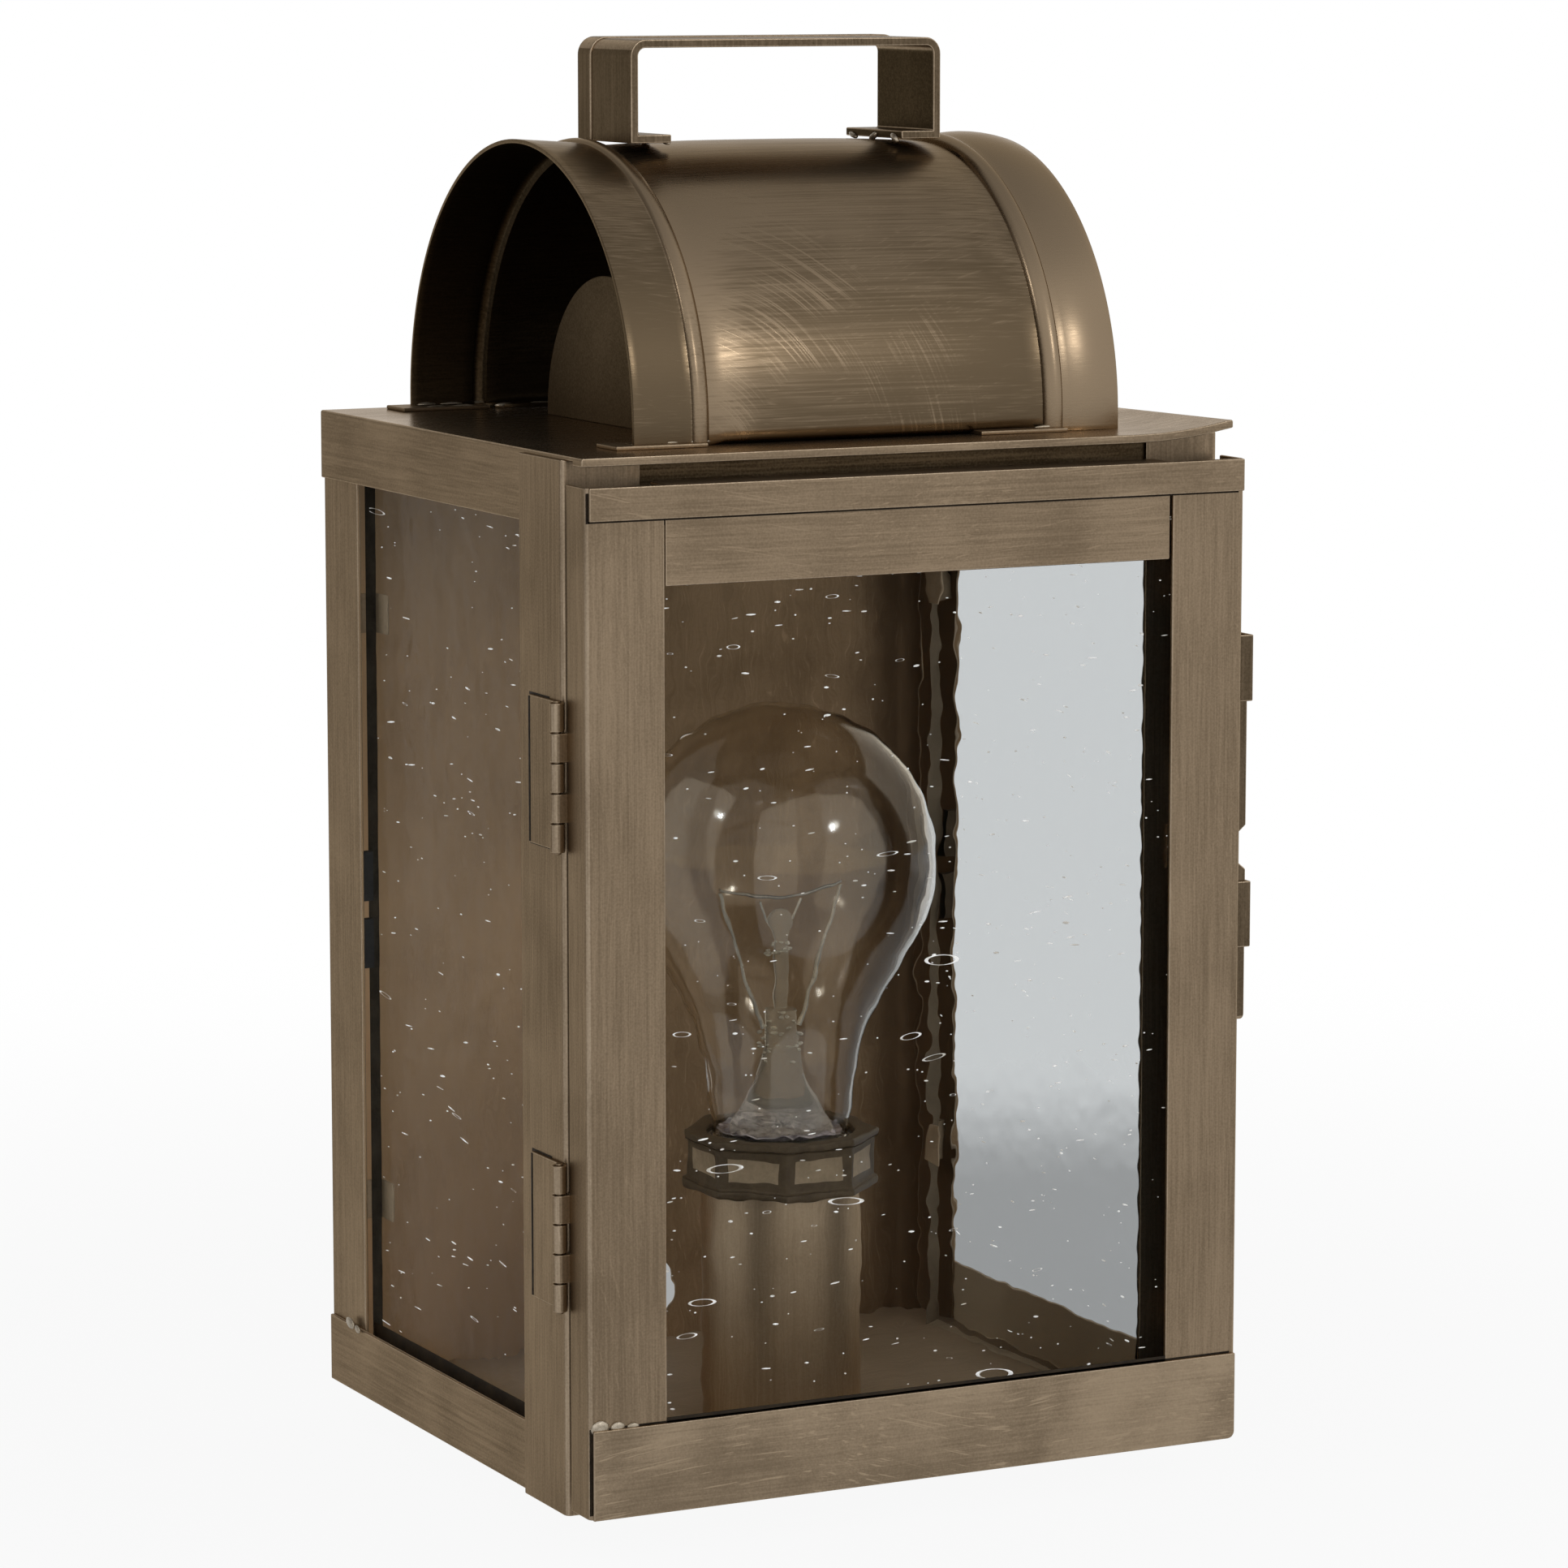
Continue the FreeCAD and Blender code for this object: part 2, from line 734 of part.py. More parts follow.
def hinge_post_leaf(height):
    """Leaf on the side of the corner post with the odd knuckles."""
    inner = hinge_x + knuckle_radius
    low = height - hinge_height / 2
    high = height + hinge_height / 2
    clear = hinge_y + knuckle_radius + hinge_clearance
    parts = [block(inner - leaf_thickness, inner, clear, hinge_y + leaf_width, low, high)]
    for bottom, top in knuckle_spans(height)[::2]:
        parts.append(block(inner - leaf_thickness, inner, hinge_y, clear, bottom, top))
        parts.append(rod(knuckle_radius, hinge_point(bottom), top - bottom))
    leaf = fused(parts)
    return leaf.cut(rod(pin_radius + pin_gap, hinge_point(low - SPARE), hinge_height + 2 * SPARE))


def hinge_door_leaf(height):
    """Leaf that passes behind the door's edge onto the inside of its return, with the even knuckles."""
    low = height - hinge_height / 2
    high = height + hinge_height / 2
    inside = -body_half + sheet
    end = inside + leaf_thickness
    back = door_back + leaf_thickness
    clear = hinge_x + knuckle_radius + hinge_clearance
    parts = [
        block(clear, end, door_back, back, low, high),
        block(inside, end, door_back - door_leaf_length, back, low, high),
    ]
    for bottom, top in knuckle_spans(height)[1::2]:
        parts.append(block(hinge_x, clear, door_back, back, bottom, top))
        parts.append(rod(knuckle_radius, hinge_point(bottom), top - bottom))
    leaf = fused(parts)
    return leaf.cut(rod(pin_radius + pin_gap, hinge_point(low - SPARE), hinge_height + 2 * SPARE))


def hinge_pin(height):
    """Pin through both leaves' knuckles, held in the post's leaf."""
    low = height - hinge_height / 2 - pin_stick_out
    return rod(pin_radius, hinge_point(low), hinge_height + 2 * pin_stick_out)


def left_stile():
    """Upright of the door with its outer edge folded back."""
    stile = folded_angle(stile_width, door_return, stile_bend, door_bottom, door_top)
    return stile.translated(point(-body_half, door_front, 0))


def right_stile():
    """The other upright, slotted through its return for the dip of the latch."""
    low = dip_bottom - slot_gap
    high = dip_bottom + dip_height + latch_travel + slot_gap
    front = latch_front - slot_gap
    rear = latch_front + latch_width + slot_gap
    slot = block(body_half - sheet - SPARE, body_half + SPARE, front, rear, low, high)
    return mirrored(left_stile()).cut(slot)


def door_top_strip():
    """Strip across the front of the stiles at the top, folded back between them."""
    half = body_half - strip_inset
    inner = stile_inner - rail_end_gap
    face = block(-half, half, door_front - sheet, door_front, door_top - strip_height, door_top)
    flange = block(-inner, inner, door_front - sheet, door_front + rail_flange, door_top - sheet, door_top)
    return fused([face, flange])


def door_inner_rail():
    """Top rail between the stiles, tucked up behind the strip."""
    inner = stile_inner - rail_end_gap
    return block(-inner, inner, door_front, door_lining, door_top - inner_rail_drop, door_top - sheet)


def door_bottom_rail():
    """Rail across the front of the stiles at the bottom, folded back between them as a ledge for the pane."""
    half = body_half - strip_inset
    inner = stile_inner - rail_end_gap
    high = door_bottom + bottom_rail_height
    face = block(-half, half, door_front - sheet, door_front, door_bottom, high)
    ledge_top = door_bottom + sheet
    ledge = block(-inner, inner, door_front - sheet, door_front + rail_flange, door_bottom, ledge_top)
    rail = fused([face, ledge])
    corners = [(half, door_bottom)]
    return rail.makeFillet(rail_corner, edges_along(rail, "Y", corners))


def door_glass():
    """Door pane that stands on the bottom rail's ledge behind the stiles."""
    low = door_bottom + sheet
    high = door_top - sheet - door_glass_top_gap
    return block(-door_glass_half, door_glass_half, door_lining, door_glass_back, low, high)


def door_glass_clips():
    """Tabs soldered inside the door's returns and lying on the back of its pane."""
    inside = body_half - sheet
    finger = door_glass_half - clip_reach
    clips = []
    for middle in clip_heights(door_clip_spread):
        low = middle - door_clip_drop - clip_height / 2
        high = low + clip_height
        clip = fused([
            block(finger, inside, door_glass_back, door_glass_back + clip_sheet, low, high),
            block(inside - clip_sheet, inside, door_glass_back, door_back - door_clip_setback, low, high),
        ])
        clips += [clip, mirrored(clip)]
    return Part.makeCompound(clips)


def latch_keeper(height):
    """Bridge soldered to the door's edge, with the latch bar running under it."""
    front = latch_front - keeper_edge - keeper_sheet
    rear = latch_front + latch_width + keeper_edge + keeper_sheet
    top = latch_inner + latch_thickness + keeper_edge
    low = height - keeper_height / 2
    high = height + keeper_height / 2
    foot = body_half - SPARE
    bridge = block(body_half, top + keeper_sheet, front, rear, low, high)
    corners = [(top + keeper_sheet, front), (top + keeper_sheet, rear)]
    bridge = bridge.makeFillet(keeper_sheet / 2, edges_along(bridge, "Z", corners))
    tunnel = block(foot, top, front + keeper_sheet, rear - keeper_sheet, low - SPARE, high + SPARE)
    return bridge.cut(tunnel)


def latch_bar():
    """Flat spring bar under both keepers, with a dip that reaches in through the door's slot."""
    dip_top = dip_bottom + dip_height
    line = [
        (latch_inner, latch_bottom),
        (latch_inner, dip_bottom),
        (dip_inner, dip_bottom + dip_slope),
        (dip_inner, dip_top - dip_slope),
        (latch_inner, dip_top),
        (latch_inner, latch_top),
    ]
    outer = [(x + latch_thickness, z) for x, z in reversed(line)]
    corners = [point(x, latch_front, z) for x, z in line + outer]
    bar = Part.Face(Part.makePolygon(corners + corners[:1])).extrude(point(0, latch_width, 0))
    rear = latch_front + latch_width
    ends = [(latch_front, latch_bottom), (rear, latch_bottom)]
    return bar.makeFillet(latch_corner, edges_along(bar, "X", ends))


def door_strike():
    """Angle on the right corner post whose tongue the latch's dip presses against."""
    outer = dip_inner - strike_gap
    low = dip_bottom
    high = dip_bottom + dip_height
    plate_back = front_face
    plate_front = front_face - sheet
    plate = block(outer - strike_plate_width, outer, plate_front, plate_back, low, high)
    tongue = block(outer - sheet, outer, plate_front - strike_reach, plate_back, low, high)
    return fused([plate, tongue])


def pieces():
    """Every piece of the lantern by its node's name."""
    left_post = front_left_post()
    pane = right_pane()
    clips = right_glass_clips()
    pads = right_glass_pads()
    return {
        "back_panel": back_panel(),
        "roof_pan": roof_pan(),
        "base_pan": base_pan(),
        "front_left_post": left_post,
        "front_right_post": mirrored(left_post),
        "front_header": front_header(),
        "left_glass": mirrored(pane),
        "right_glass": pane,
        "left_glass_clips": mirrored(clips),
        "right_glass_clips": clips,
        "left_glass_pads": mirrored(pads),
        "right_glass_pads": pads,
        "barrel_roof": barrel_roof(),
        "barrel_feet": barrel_feet(),
        "vent_baffle": vent_baffle(),
        "handle_strap": handle_strap(),
        "socket_tube": socket_tube(),
        "socket_collar": socket_collar(),
        "socket_body": socket_body(),
        "socket_shell": socket_shell(),
        "socket_contact": socket_contact(),
        "threaded_nipple": threaded_nipple(),
        "nipple_washer": nipple_washer(),
        "nipple_nut": nipple_nut(),
        "bulb_glass": bulb_glass(),
        "bulb_base": bulb_base(),
        "bulb_insulator": bulb_insulator(),
        "bulb_contact": bulb_contact(),
        "bulb_stem": bulb_stem(),
        "bulb_lead_wires": bulb_lead_wires(),
        "bulb_filament": bulb_filament(),
        "upper_hinge_post_leaf": hinge_post_leaf(upper_hinge_z),
        "lower_hinge_post_leaf": hinge_post_leaf(lower_hinge_z),
        "upper_hinge_door_leaf": hinge_door_leaf(upper_hinge_z),
        "lower_hinge_door_leaf": hinge_door_leaf(lower_hinge_z),
        "upper_hinge_pin": hinge_pin(upper_hinge_z),
        "lower_hinge_pin": hinge_pin(lower_hinge_z),
        "door_left_stile": left_stile(),
        "door_right_stile": right_stile(),
        "door_top_strip": door_top_strip(),
        "door_inner_rail": door_inner_rail(),
        "door_bottom_rail": door_bottom_rail(),
        "door_glass": door_glass(),
        "door_glass_clips": door_glass_clips(),
        "upper_latch_keeper": latch_keeper(upper_keeper_z),
        "lower_latch_keeper": latch_keeper(lower_keeper_z),
        "latch_bar": latch_bar(),
        "door_strike": door_strike(),
    }


def main():
    """Writes each piece to its own file."""
    os.makedirs("parts", exist_ok=True)
    for name, shape in pieces().items():
        if not shape.isValid():
            raise ValueError(name + " is not a valid solid")
        shape.exportStep("parts/" + name + ".step")


if __name__ == "__main__":
    main()
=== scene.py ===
"""Outdoor wall light of antique brass: the dressed model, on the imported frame."""
import json
import logging
import math
import random
from collections.abc import Callable, Iterator
from contextlib import contextmanager
from dataclasses import dataclass
from enum import Enum
from functools import cached_property

import bmesh
import bpy
from mathutils import Matrix, Vector

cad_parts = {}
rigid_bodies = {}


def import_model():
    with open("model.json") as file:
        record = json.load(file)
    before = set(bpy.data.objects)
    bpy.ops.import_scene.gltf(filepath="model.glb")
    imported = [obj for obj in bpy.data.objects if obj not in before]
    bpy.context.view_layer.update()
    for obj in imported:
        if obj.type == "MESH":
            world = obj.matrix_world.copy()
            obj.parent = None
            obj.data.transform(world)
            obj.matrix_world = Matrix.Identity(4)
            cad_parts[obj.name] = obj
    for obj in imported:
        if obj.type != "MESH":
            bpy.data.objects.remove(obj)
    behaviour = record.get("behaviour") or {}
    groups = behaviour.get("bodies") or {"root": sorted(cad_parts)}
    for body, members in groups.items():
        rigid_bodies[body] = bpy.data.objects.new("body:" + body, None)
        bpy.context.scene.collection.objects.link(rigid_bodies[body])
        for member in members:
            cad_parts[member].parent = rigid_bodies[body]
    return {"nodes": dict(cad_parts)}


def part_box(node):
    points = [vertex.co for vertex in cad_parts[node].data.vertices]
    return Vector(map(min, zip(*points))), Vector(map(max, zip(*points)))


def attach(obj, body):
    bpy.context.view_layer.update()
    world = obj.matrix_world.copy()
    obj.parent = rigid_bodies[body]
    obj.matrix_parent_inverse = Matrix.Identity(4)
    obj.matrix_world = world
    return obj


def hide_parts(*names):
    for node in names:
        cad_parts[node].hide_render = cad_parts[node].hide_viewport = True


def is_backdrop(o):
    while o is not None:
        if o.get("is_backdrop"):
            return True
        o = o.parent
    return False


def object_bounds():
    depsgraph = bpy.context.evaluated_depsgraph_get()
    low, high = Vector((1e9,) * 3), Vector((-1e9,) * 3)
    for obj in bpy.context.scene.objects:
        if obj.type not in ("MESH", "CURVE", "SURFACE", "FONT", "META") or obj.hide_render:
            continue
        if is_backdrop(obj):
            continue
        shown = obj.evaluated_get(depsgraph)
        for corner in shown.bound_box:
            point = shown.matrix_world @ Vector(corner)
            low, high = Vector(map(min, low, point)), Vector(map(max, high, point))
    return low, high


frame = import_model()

CAD_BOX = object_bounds()
LOG = logging.getLogger("wall_light")

Colour = tuple[float, float, float]
Point = tuple[float, float, float]

# Corners closer than this are one, and corners this close in height are on one level, in metres.
SAME_CORNER = 0.000001
SAME_LEVEL = 0.00001


class Body(Enum):
    """The bodies that the joints move."""

    LANTERN = "lantern_body"
    DOOR = "door"
    LATCH = "latch"
    BULB = "bulb"


class Grain(Enum):
    """The way in which a brass face was rubbed."""

    UPRIGHT = "upright"
    ACROSS = "across"
    DEPTH = "depth"

    def stretch(self, fine: float, along: float) -> Point:
        """Gives the scale of a streak pattern that runs with the grain.

        Args:
            fine: Repeats in a metre across the grain.
            along: Repeats in a metre along the grain.

        Returns:
            The scale on X, Y and Z.
        """
        scales = {
            Grain.UPRIGHT: (fine, fine, along),
            Grain.ACROSS: (along, fine, fine),
            Grain.DEPTH: (fine, along, fine),
        }
        return scales[self]


class Element(Enum):
    """The kinds of mesh element that can be selected."""

    VERTS = "VERT"
    EDGES = "EDGE"
    FACES = "FACE"


class Signal:
    """A shader socket that takes part in plain arithmetic."""

    def __init__(self, sheet: "ShaderSheet", socket: bpy.types.NodeSocket) -> None:
        """Holds an output socket and the sheet that it is on."""
        self.sheet = sheet
        self.socket = socket

    def math(self, operation: str, first: "Signal | float", second: "Signal | float") -> "Signal":
        """Adds a Math node with two values."""
        return self.sheet.node("ShaderNodeMath", {"operation": operation}, {0: first, 1: second})

    def __add__(self, other: "Signal | float") -> "Signal":
        """Sum."""
        return self.math("ADD", self, other)

    def __radd__(self, other: float) -> "Signal":
        """Sum, reflected."""
        return self.math("ADD", other, self)

    def __sub__(self, other: "Signal | float") -> "Signal":
        """Difference."""
        return self.math("SUBTRACT", self, other)

    def __rsub__(self, other: float) -> "Signal":
        """Difference, reflected."""
        return self.math("SUBTRACT", other, self)

    def __mul__(self, other: "Signal | float") -> "Signal":
        """Product."""
        return self.math("MULTIPLY", self, other)

    def __rmul__(self, other: float) -> "Signal":
        """Product, reflected."""
        return self.math("MULTIPLY", other, self)

    def larger(self, other: "Signal | float") -> "Signal":
        """The larger of two values."""
        return self.math("MAXIMUM", self, other)

    def between(self, low: float, high: float) -> "Signal":
        """Rises smoothly from 0 at one value to 1 at another.

        Args:
            low: The value that gives 0.
            high: The value that gives 1.

        Returns:
            The value from 0 to 1.
        """
        settings = {"interpolation_type": "SMOOTHSTEP"}
        values = {"Value": self, "From Min": low, "From Max": high}
        return self.sheet.node("ShaderNodeMapRange", settings, values)


class ShaderSheet:
    """Node tree of one finish, or of the world."""

    def __init__(self, tree: bpy.types.NodeTree) -> None:
        """Clears the tree of a material or world that uses nodes."""
        self.tree = tree
        self.tree.nodes.clear()

    @classmethod
    def of_finish(cls, name: str) -> "tuple[ShaderSheet, bpy.types.Material]":
        """Starts a new material.

        Args:
            name: The material's name.

        Returns:
            The empty sheet and its material.
        """
        material = bpy.data.materials.new(name)
        material.use_nodes = True
        return cls(material.node_tree), material

    def node(
        self,
        kind: str,
        settings: dict[str, object] | None = None,
        values: dict[int | str, object] | None = None,
        output: int | str = 0,
    ) -> Signal:
        """Adds a node.

        Args:
            kind: The node's type.
            settings: Its settings, with a ramp's stops under "stops".
            values: The values or links of its sockets.
            output: The output that is wanted.

        Returns:
            That output.
        """
        made = self.tree.nodes.new(kind)
        for key, value in (settings or {}).items():
            if key == "stops":
                self.set_stops(made.color_ramp, value)
            else:
                setattr(made, key, value)
        for key, value in (values or {}).items():
            if isinstance(value, Signal):
                self.tree.links.new(value.socket, made.inputs[key])
            else:
                made.inputs[key].default_value = value
        return Signal(self, made.outputs[output])

    @staticmethod
    def set_stops(ramp: bpy.types.ColorRamp, stops: list[tuple[float, Colour]]) -> None:
        """Gives a ramp its stops.

        Args:
            ramp: The ramp, which starts with two stops.
            stops: Positions and colours, two or more.
        """
        while len(ramp.elements) < len(stops):
            ramp.elements.new(0.5)
        for element, (position, colour) in zip(ramp.elements, stops):
            element.position = position
            element.color = (*colour, 1.0)

    def place(self) -> Signal:
        """The point on the piece, in the lantern's own frame."""
        return self.node("ShaderNodeTexCoord", output="Object")

    def along(self, place: Signal, axis: str) -> Signal:
        """One coordinate of a point."""
        return self.node("ShaderNodeSeparateXYZ", values={0: place}, output=axis)

    def ray(self, kind: str) -> Signal:
        """One fact about the ray that meets the surface."""
        return self.node("ShaderNodeLightPath", output=kind)

    def vector(self, operation: str, *values: Signal | Point, output: str = "Vector") -> Signal:
        """Adds a Vector Math node, whose output "Value" is a number."""
        settings = {"operation": operation}
        return self.node("ShaderNodeVectorMath", settings, dict(enumerate(values)), output)

    def mapped(
        self, place: Signal, scale: Point, turn: Point = (0, 0, 0), shift: Point = (0, 0, 0)
    ) -> Signal:
        """Stretches and turns a pattern.

        Args:
            place: The point to map.
            scale: The pattern's repeats in a metre.
            turn: The turn about X, Y and Z, in degrees.
            shift: The move that is made last.

        Returns:
            The mapped point.
        """
        angles = tuple(math.radians(angle) for angle in turn)
        values = {"Vector": place, "Location": shift, "Rotation": angles, "Scale": scale}
        return self.node("ShaderNodeMapping", values=values)

    def noise(self, place: Signal, scale: float = 1.0, detail: float = 2.0, warp: float = 0.0) -> Signal:
        """Cloudy noise from 0 to 1, with its repeats, octaves and distortion."""
        values = {"Vector": place, "Scale": scale, "Detail": detail, "Distortion": warp}
        return self.node("ShaderNodeTexNoise", values=values)

    def wander(self, place: Signal, repeats: float, reach: float) -> Signal:
        """Lets a point drift, so that straight strokes bend as a hand bends them.

        Args:
            place: The point.
            repeats: The drift's repeats in a metre.
            reach: How far it drifts, in metres.

        Returns:
            The drifted point.
        """
        values = {"Vector": place, "Scale": repeats, "Detail": 1.0}
        drift = self.node("ShaderNodeTexNoise", values=values, output="Color")
        return self.vector("MULTIPLY_ADD", drift, (reach,) * 3, place)

    def blend(self, factor: Signal | float, first: Signal | Colour, second: Signal | Colour) -> Signal:
        """Mixes two colours by the share of the second."""
        pair = [value if isinstance(value, Signal) else (*value, 1.0) for value in (first, second)]
        return self.node("ShaderNodeMix", {"data_type": "RGBA"}, {0: factor, 6: pair[0], 7: pair[1]}, 2)

    def bump(self, height: Signal, distance: float, strength: float = 1.0) -> Signal:
        """Turns a height from 0 to 1 into a normal, where 1 is a distance in metres."""
        values = {"Strength": strength, "Distance": distance, "Height": height}
        return self.node("ShaderNodeBump", values=values, output="Normal")

    def principled(self, values: dict[str, object]) -> Signal:
        """Adds the Principled shader, with its sockets set or linked."""
        return self.node("ShaderNodeBsdfPrincipled", values=values)

    def finish(self, shader: Signal, kind: str = "ShaderNodeOutputMaterial") -> None:
        """Adds the output node and links the shader to it."""
        made = self.tree.nodes.new(kind)
        self.tree.links.new(shader.socket, made.inputs["Surface"])


@dataclass(frozen=True)
class Brass:
    """Antique brass: a dark patina that was rubbed back by hand along a grain."""

    name: str
    grain: Grain
    dark: Colour = (0.186, 0.136, 0.087)
    light: Colour = (0.330, 0.247, 0.163)
    roughness: float = 0.40
    rub: float = 1.0
    metallic: float = 1.0
    sweep: float = 0.2
    mottle: float = 0.7
    # Repeats in a metre across and along the grain.
    fine: tuple[float, float] = (2600.0, 70.0)
    hair: tuple[float, float] = (1150.0, 6.0)
    scratch: tuple[float, float] = (2300.0, 26.0)

    def strokes(self, sheet: ShaderSheet, place: Signal) -> Signal:
        """Draws the rubbed strokes.

        Args:
            sheet: The sheet to draw on.
            place: The point on the piece.

        Returns:
            Their strength, about 0.5 on the whole.
        """
        bent = sheet.wander(place, 9.0, 0.0012)
        fine = sheet.noise(sheet.mapped(bent, self.grain.stretch(*self.fine)), detail=3.0)
        hair = sheet.noise(sheet.mapped(bent, self.grain.stretch(*self.hair), (1.2, 1.5, 1.0)), detail=2.0)
        return fine * 0.42 + hair * 0.24 + sheet.noise(place, 2300.0) * 0.34

    def lift(self, sheet: ShaderSheet, place: Signal) -> Signal | float:
        """How much painted light or painted shade lifts or lowers the brass at a point; plain brass has
        none.
        """
        return 0.0

    def material(self) -> bpy.types.Material:
        """Builds the finish.

        Returns:
            The material.
        """
        sheet, material = ShaderSheet.of_finish(self.name)
        place = sheet.place()
        strokes = self.strokes(sheet, place)
        cloud = sheet.noise(place, 42.0, 3.0, 0.4)
        slant = self.grain.stretch(*self.scratch)
        curved = sheet.wander(place, 12.0, 0.030)
        scratch = sheet.noise(sheet.mapped(curved, slant, (9, -16, 7), (3.1, 1.7, 5.3)), detail=1.0)
        nick = scratch.between(0.60, 0.76)
        shade = (strokes - 0.5) * (2.0 * self.rub) + (cloud - 0.5) * self.mottle
        # lift adds the painted highlights and painted shade of the finishes that have them; plain brass adds
        # none.
        tone = shade + nick * self.sweep + self.lift(sheet, place) + 0.5
        colour = sheet.blend(tone.between(0.0, 1.0), self.dark, self.light)
        rough = (0.5 - strokes) * 0.25 + (0.5 - cloud) * 0.14 + self.roughness
        values = {
            "Base Color": colour,
            "Roughness": rough,
            "Metallic": self.metallic,
            "Specular Tint": (0.78, 0.69, 0.58, 1.0),
            "Normal": sheet.bump(strokes, 0.00002, 0.6),
        }
        sheet.finish(sheet.principled(values))
        return material


@dataclass(frozen=True)
class SwirledBrass(Brass):
    """Brass of the barrel: rubbed across, then polished with round sweeps of the hand."""

    fine: tuple[float, float] = (2600.0, 22.0)
    sweep_centre: Point = (-0.046, -0.112, 0.092)

    def strokes(self, sheet: ShaderSheet, place: Signal) -> Signal:
        """Draws straight strokes, and sweeps round a centre in patches.

        Args:
            sheet: The sheet to draw on.
            place: The point on the piece.

        Returns:
            Their strength, about 0.5 on the whole.
        """
        fine = sheet.noise(sheet.mapped(place, self.grain.stretch(*self.fine)), detail=3.0)
        bent = sheet.wander(place, 26.0, 0.006)
        reach = sheet.vector("DISTANCE", bent, self.sweep_centre, output="Value")
        near = sheet.along(place, "X").between(-0.036, -0.029) - reach.between(0.050, 0.080)
        ring = sheet.node("ShaderNodeCombineXYZ", values={"X": reach * 2000.0})
        way = sheet.vector("ADD", ring, sheet.mapped(place, (46.0, 46.0, 46.0)))
        sweep = sheet.noise(way, detail=1.0).between(0.48, 0.74)
        spread = sheet.mapped(place, (36.0, 36.0, 36.0), shift=(1.3, 0.4, 2.2))
        patch = sheet.noise(spread).between(0.42, 0.62)
        return fine * 0.66 + 0.14 + sweep * (patch * near.larger(0.0) * 0.8)

    def lift(self, sheet: ShaderSheet, place: Signal) -> Signal | float:
        """Painted highlights and painted shade on the barrel, from collar to collar: lighter near the left
        bead, on the right bead and collar and on top; darker across the middle and on the left collar.

        Args:
            sheet: The sheet to draw on.
            place: The point on the barrel.

        Returns:
            What is added to the strokes.
        """
        side = sheet.along(place, "X")
        left = 0.0 - side
        # Painted shade that tones down the highlight across the middle.
        dull = side.between(-0.034, -0.006) * 0.24 + side.between(-0.006, 0.034) * 0.14
        # Painted highlights near the left bead and on the right bead and collar.
        bright = left.between(0.024, 0.034) * 0.40 + side.between(0.0355, 0.0368) * 1.45
        # Painted light on the top of the barrel.
        top = sheet.along(place, "Z").between(0.118, 0.150) * 0.6
        # The left collar gets painted shade.
        return bright + top - dull - left.between(0.0392, 0.0402) * 0.9


@dataclass(frozen=True)
class LiningBrass(Brass):
    """Brass of the back panel's inner face, with painted light that makes it lighter towards the left and
    painted shade at its far right.
    """

    start: float = 0.012
    end: float = -0.034
    gain: float = 0.38

    def lift(self, sheet: ShaderSheet, place: Signal) -> Signal | float:
        """How much painted light lifts the brass towards the left, and painted shade lowers it at the far
        right.

        Args:
            sheet: The sheet to draw on.
            place: The point on the panel.

        Returns:
            What is added to the strokes.
        """
        side = sheet.along(place, "X")
        painted_left_light = (0.0 - side).between(-self.start, -self.end) * self.gain
        return painted_left_light - side.between(0.050, 0.064) * 0.4 - 0.03


@dataclass(frozen=True)
class SeedyGlass:
    """Old sheet glass: faintly grey, wavy on both faces."""

    name: str
    tint: Colour = (0.755, 0.77, 0.775)
    wave: float = 0.0005
    repeats: Point = (150.0, 150.0, 150.0)
    bend: float = 1.06
    gleam: Colour = (1.0, 1.0, 1.0)
    clear: float = 1.0

    def body_colour(self, sheet: ShaderSheet, place: Signal) -> Signal | tuple[float, ...]:
        """The glass's own colour."""
        return (*self.tint, 1.0)

    def skin(self, sheet: ShaderSheet) -> dict[str, object]:
        """The sockets of a second gloss, where the glass has one."""
        return {}

    def material(self) -> bpy.types.Material:
        """Builds the finish, which lets the lamps through.

        Returns:
            The material.
        """
        sheet, material = ShaderSheet.of_finish(self.name)
        place = sheet.place()
        waves = sheet.noise(sheet.mapped(place, self.repeats), detail=1.0)
        smear = sheet.noise(sheet.mapped(place, (24.0, 24.0, 60.0)), detail=3.0)
        values = {
            "Base Color": self.body_colour(sheet, place),
            "Roughness": smear.between(0.60, 0.95) * 0.03,
            "Specular Tint": (*self.gleam, 1.0),
            "IOR": self.bend,
            "Transmission Weight": self.clear,
            "Normal": sheet.bump(waves, self.wave),
            **self.skin(sheet),
        }
        pane = sheet.principled(values)
        clear = sheet.node("ShaderNodeBsdfTransparent", values={"Color": (*self.tint, 1.0)})
        shadow = sheet.ray("Is Shadow Ray")
        sheet.finish(sheet.node("ShaderNodeMixShader", values={0: shadow, 1: pane, 2: clear}))
        return material


@dataclass(frozen=True)
class SmearedGlass(SeedyGlass):
    """Sheet glass with patina smeared along the front edge of its outer face."""

    front: float = -0.100
    inside: float = 0.068
    reach: float = 0.0026
    stain: Colour = (0.0006, 0.0004, 0.0002)

    def body_colour(self, sheet: ShaderSheet, place: Signal) -> Signal | tuple[float, ...]:
        """The glass's own colour, dark where patina covers it.

        Args:
            sheet: The sheet to draw on.
            place: The point on the pane.

        Returns:
            The colour.
        """
        ahead = sheet.noise(sheet.mapped(place, (0.0, 0.0, 175.0)), detail=1.0) * self.reach
        rim = -self.reach * 0.32
        smear = 1.0 - (sheet.along(place, "Y") - self.front - ahead).between(rim, rim + 0.0003)
        outer = sheet.along(place, "X").between(self.inside, self.inside + 0.0002)
        return sheet.blend(smear * outer, self.tint, self.stain)


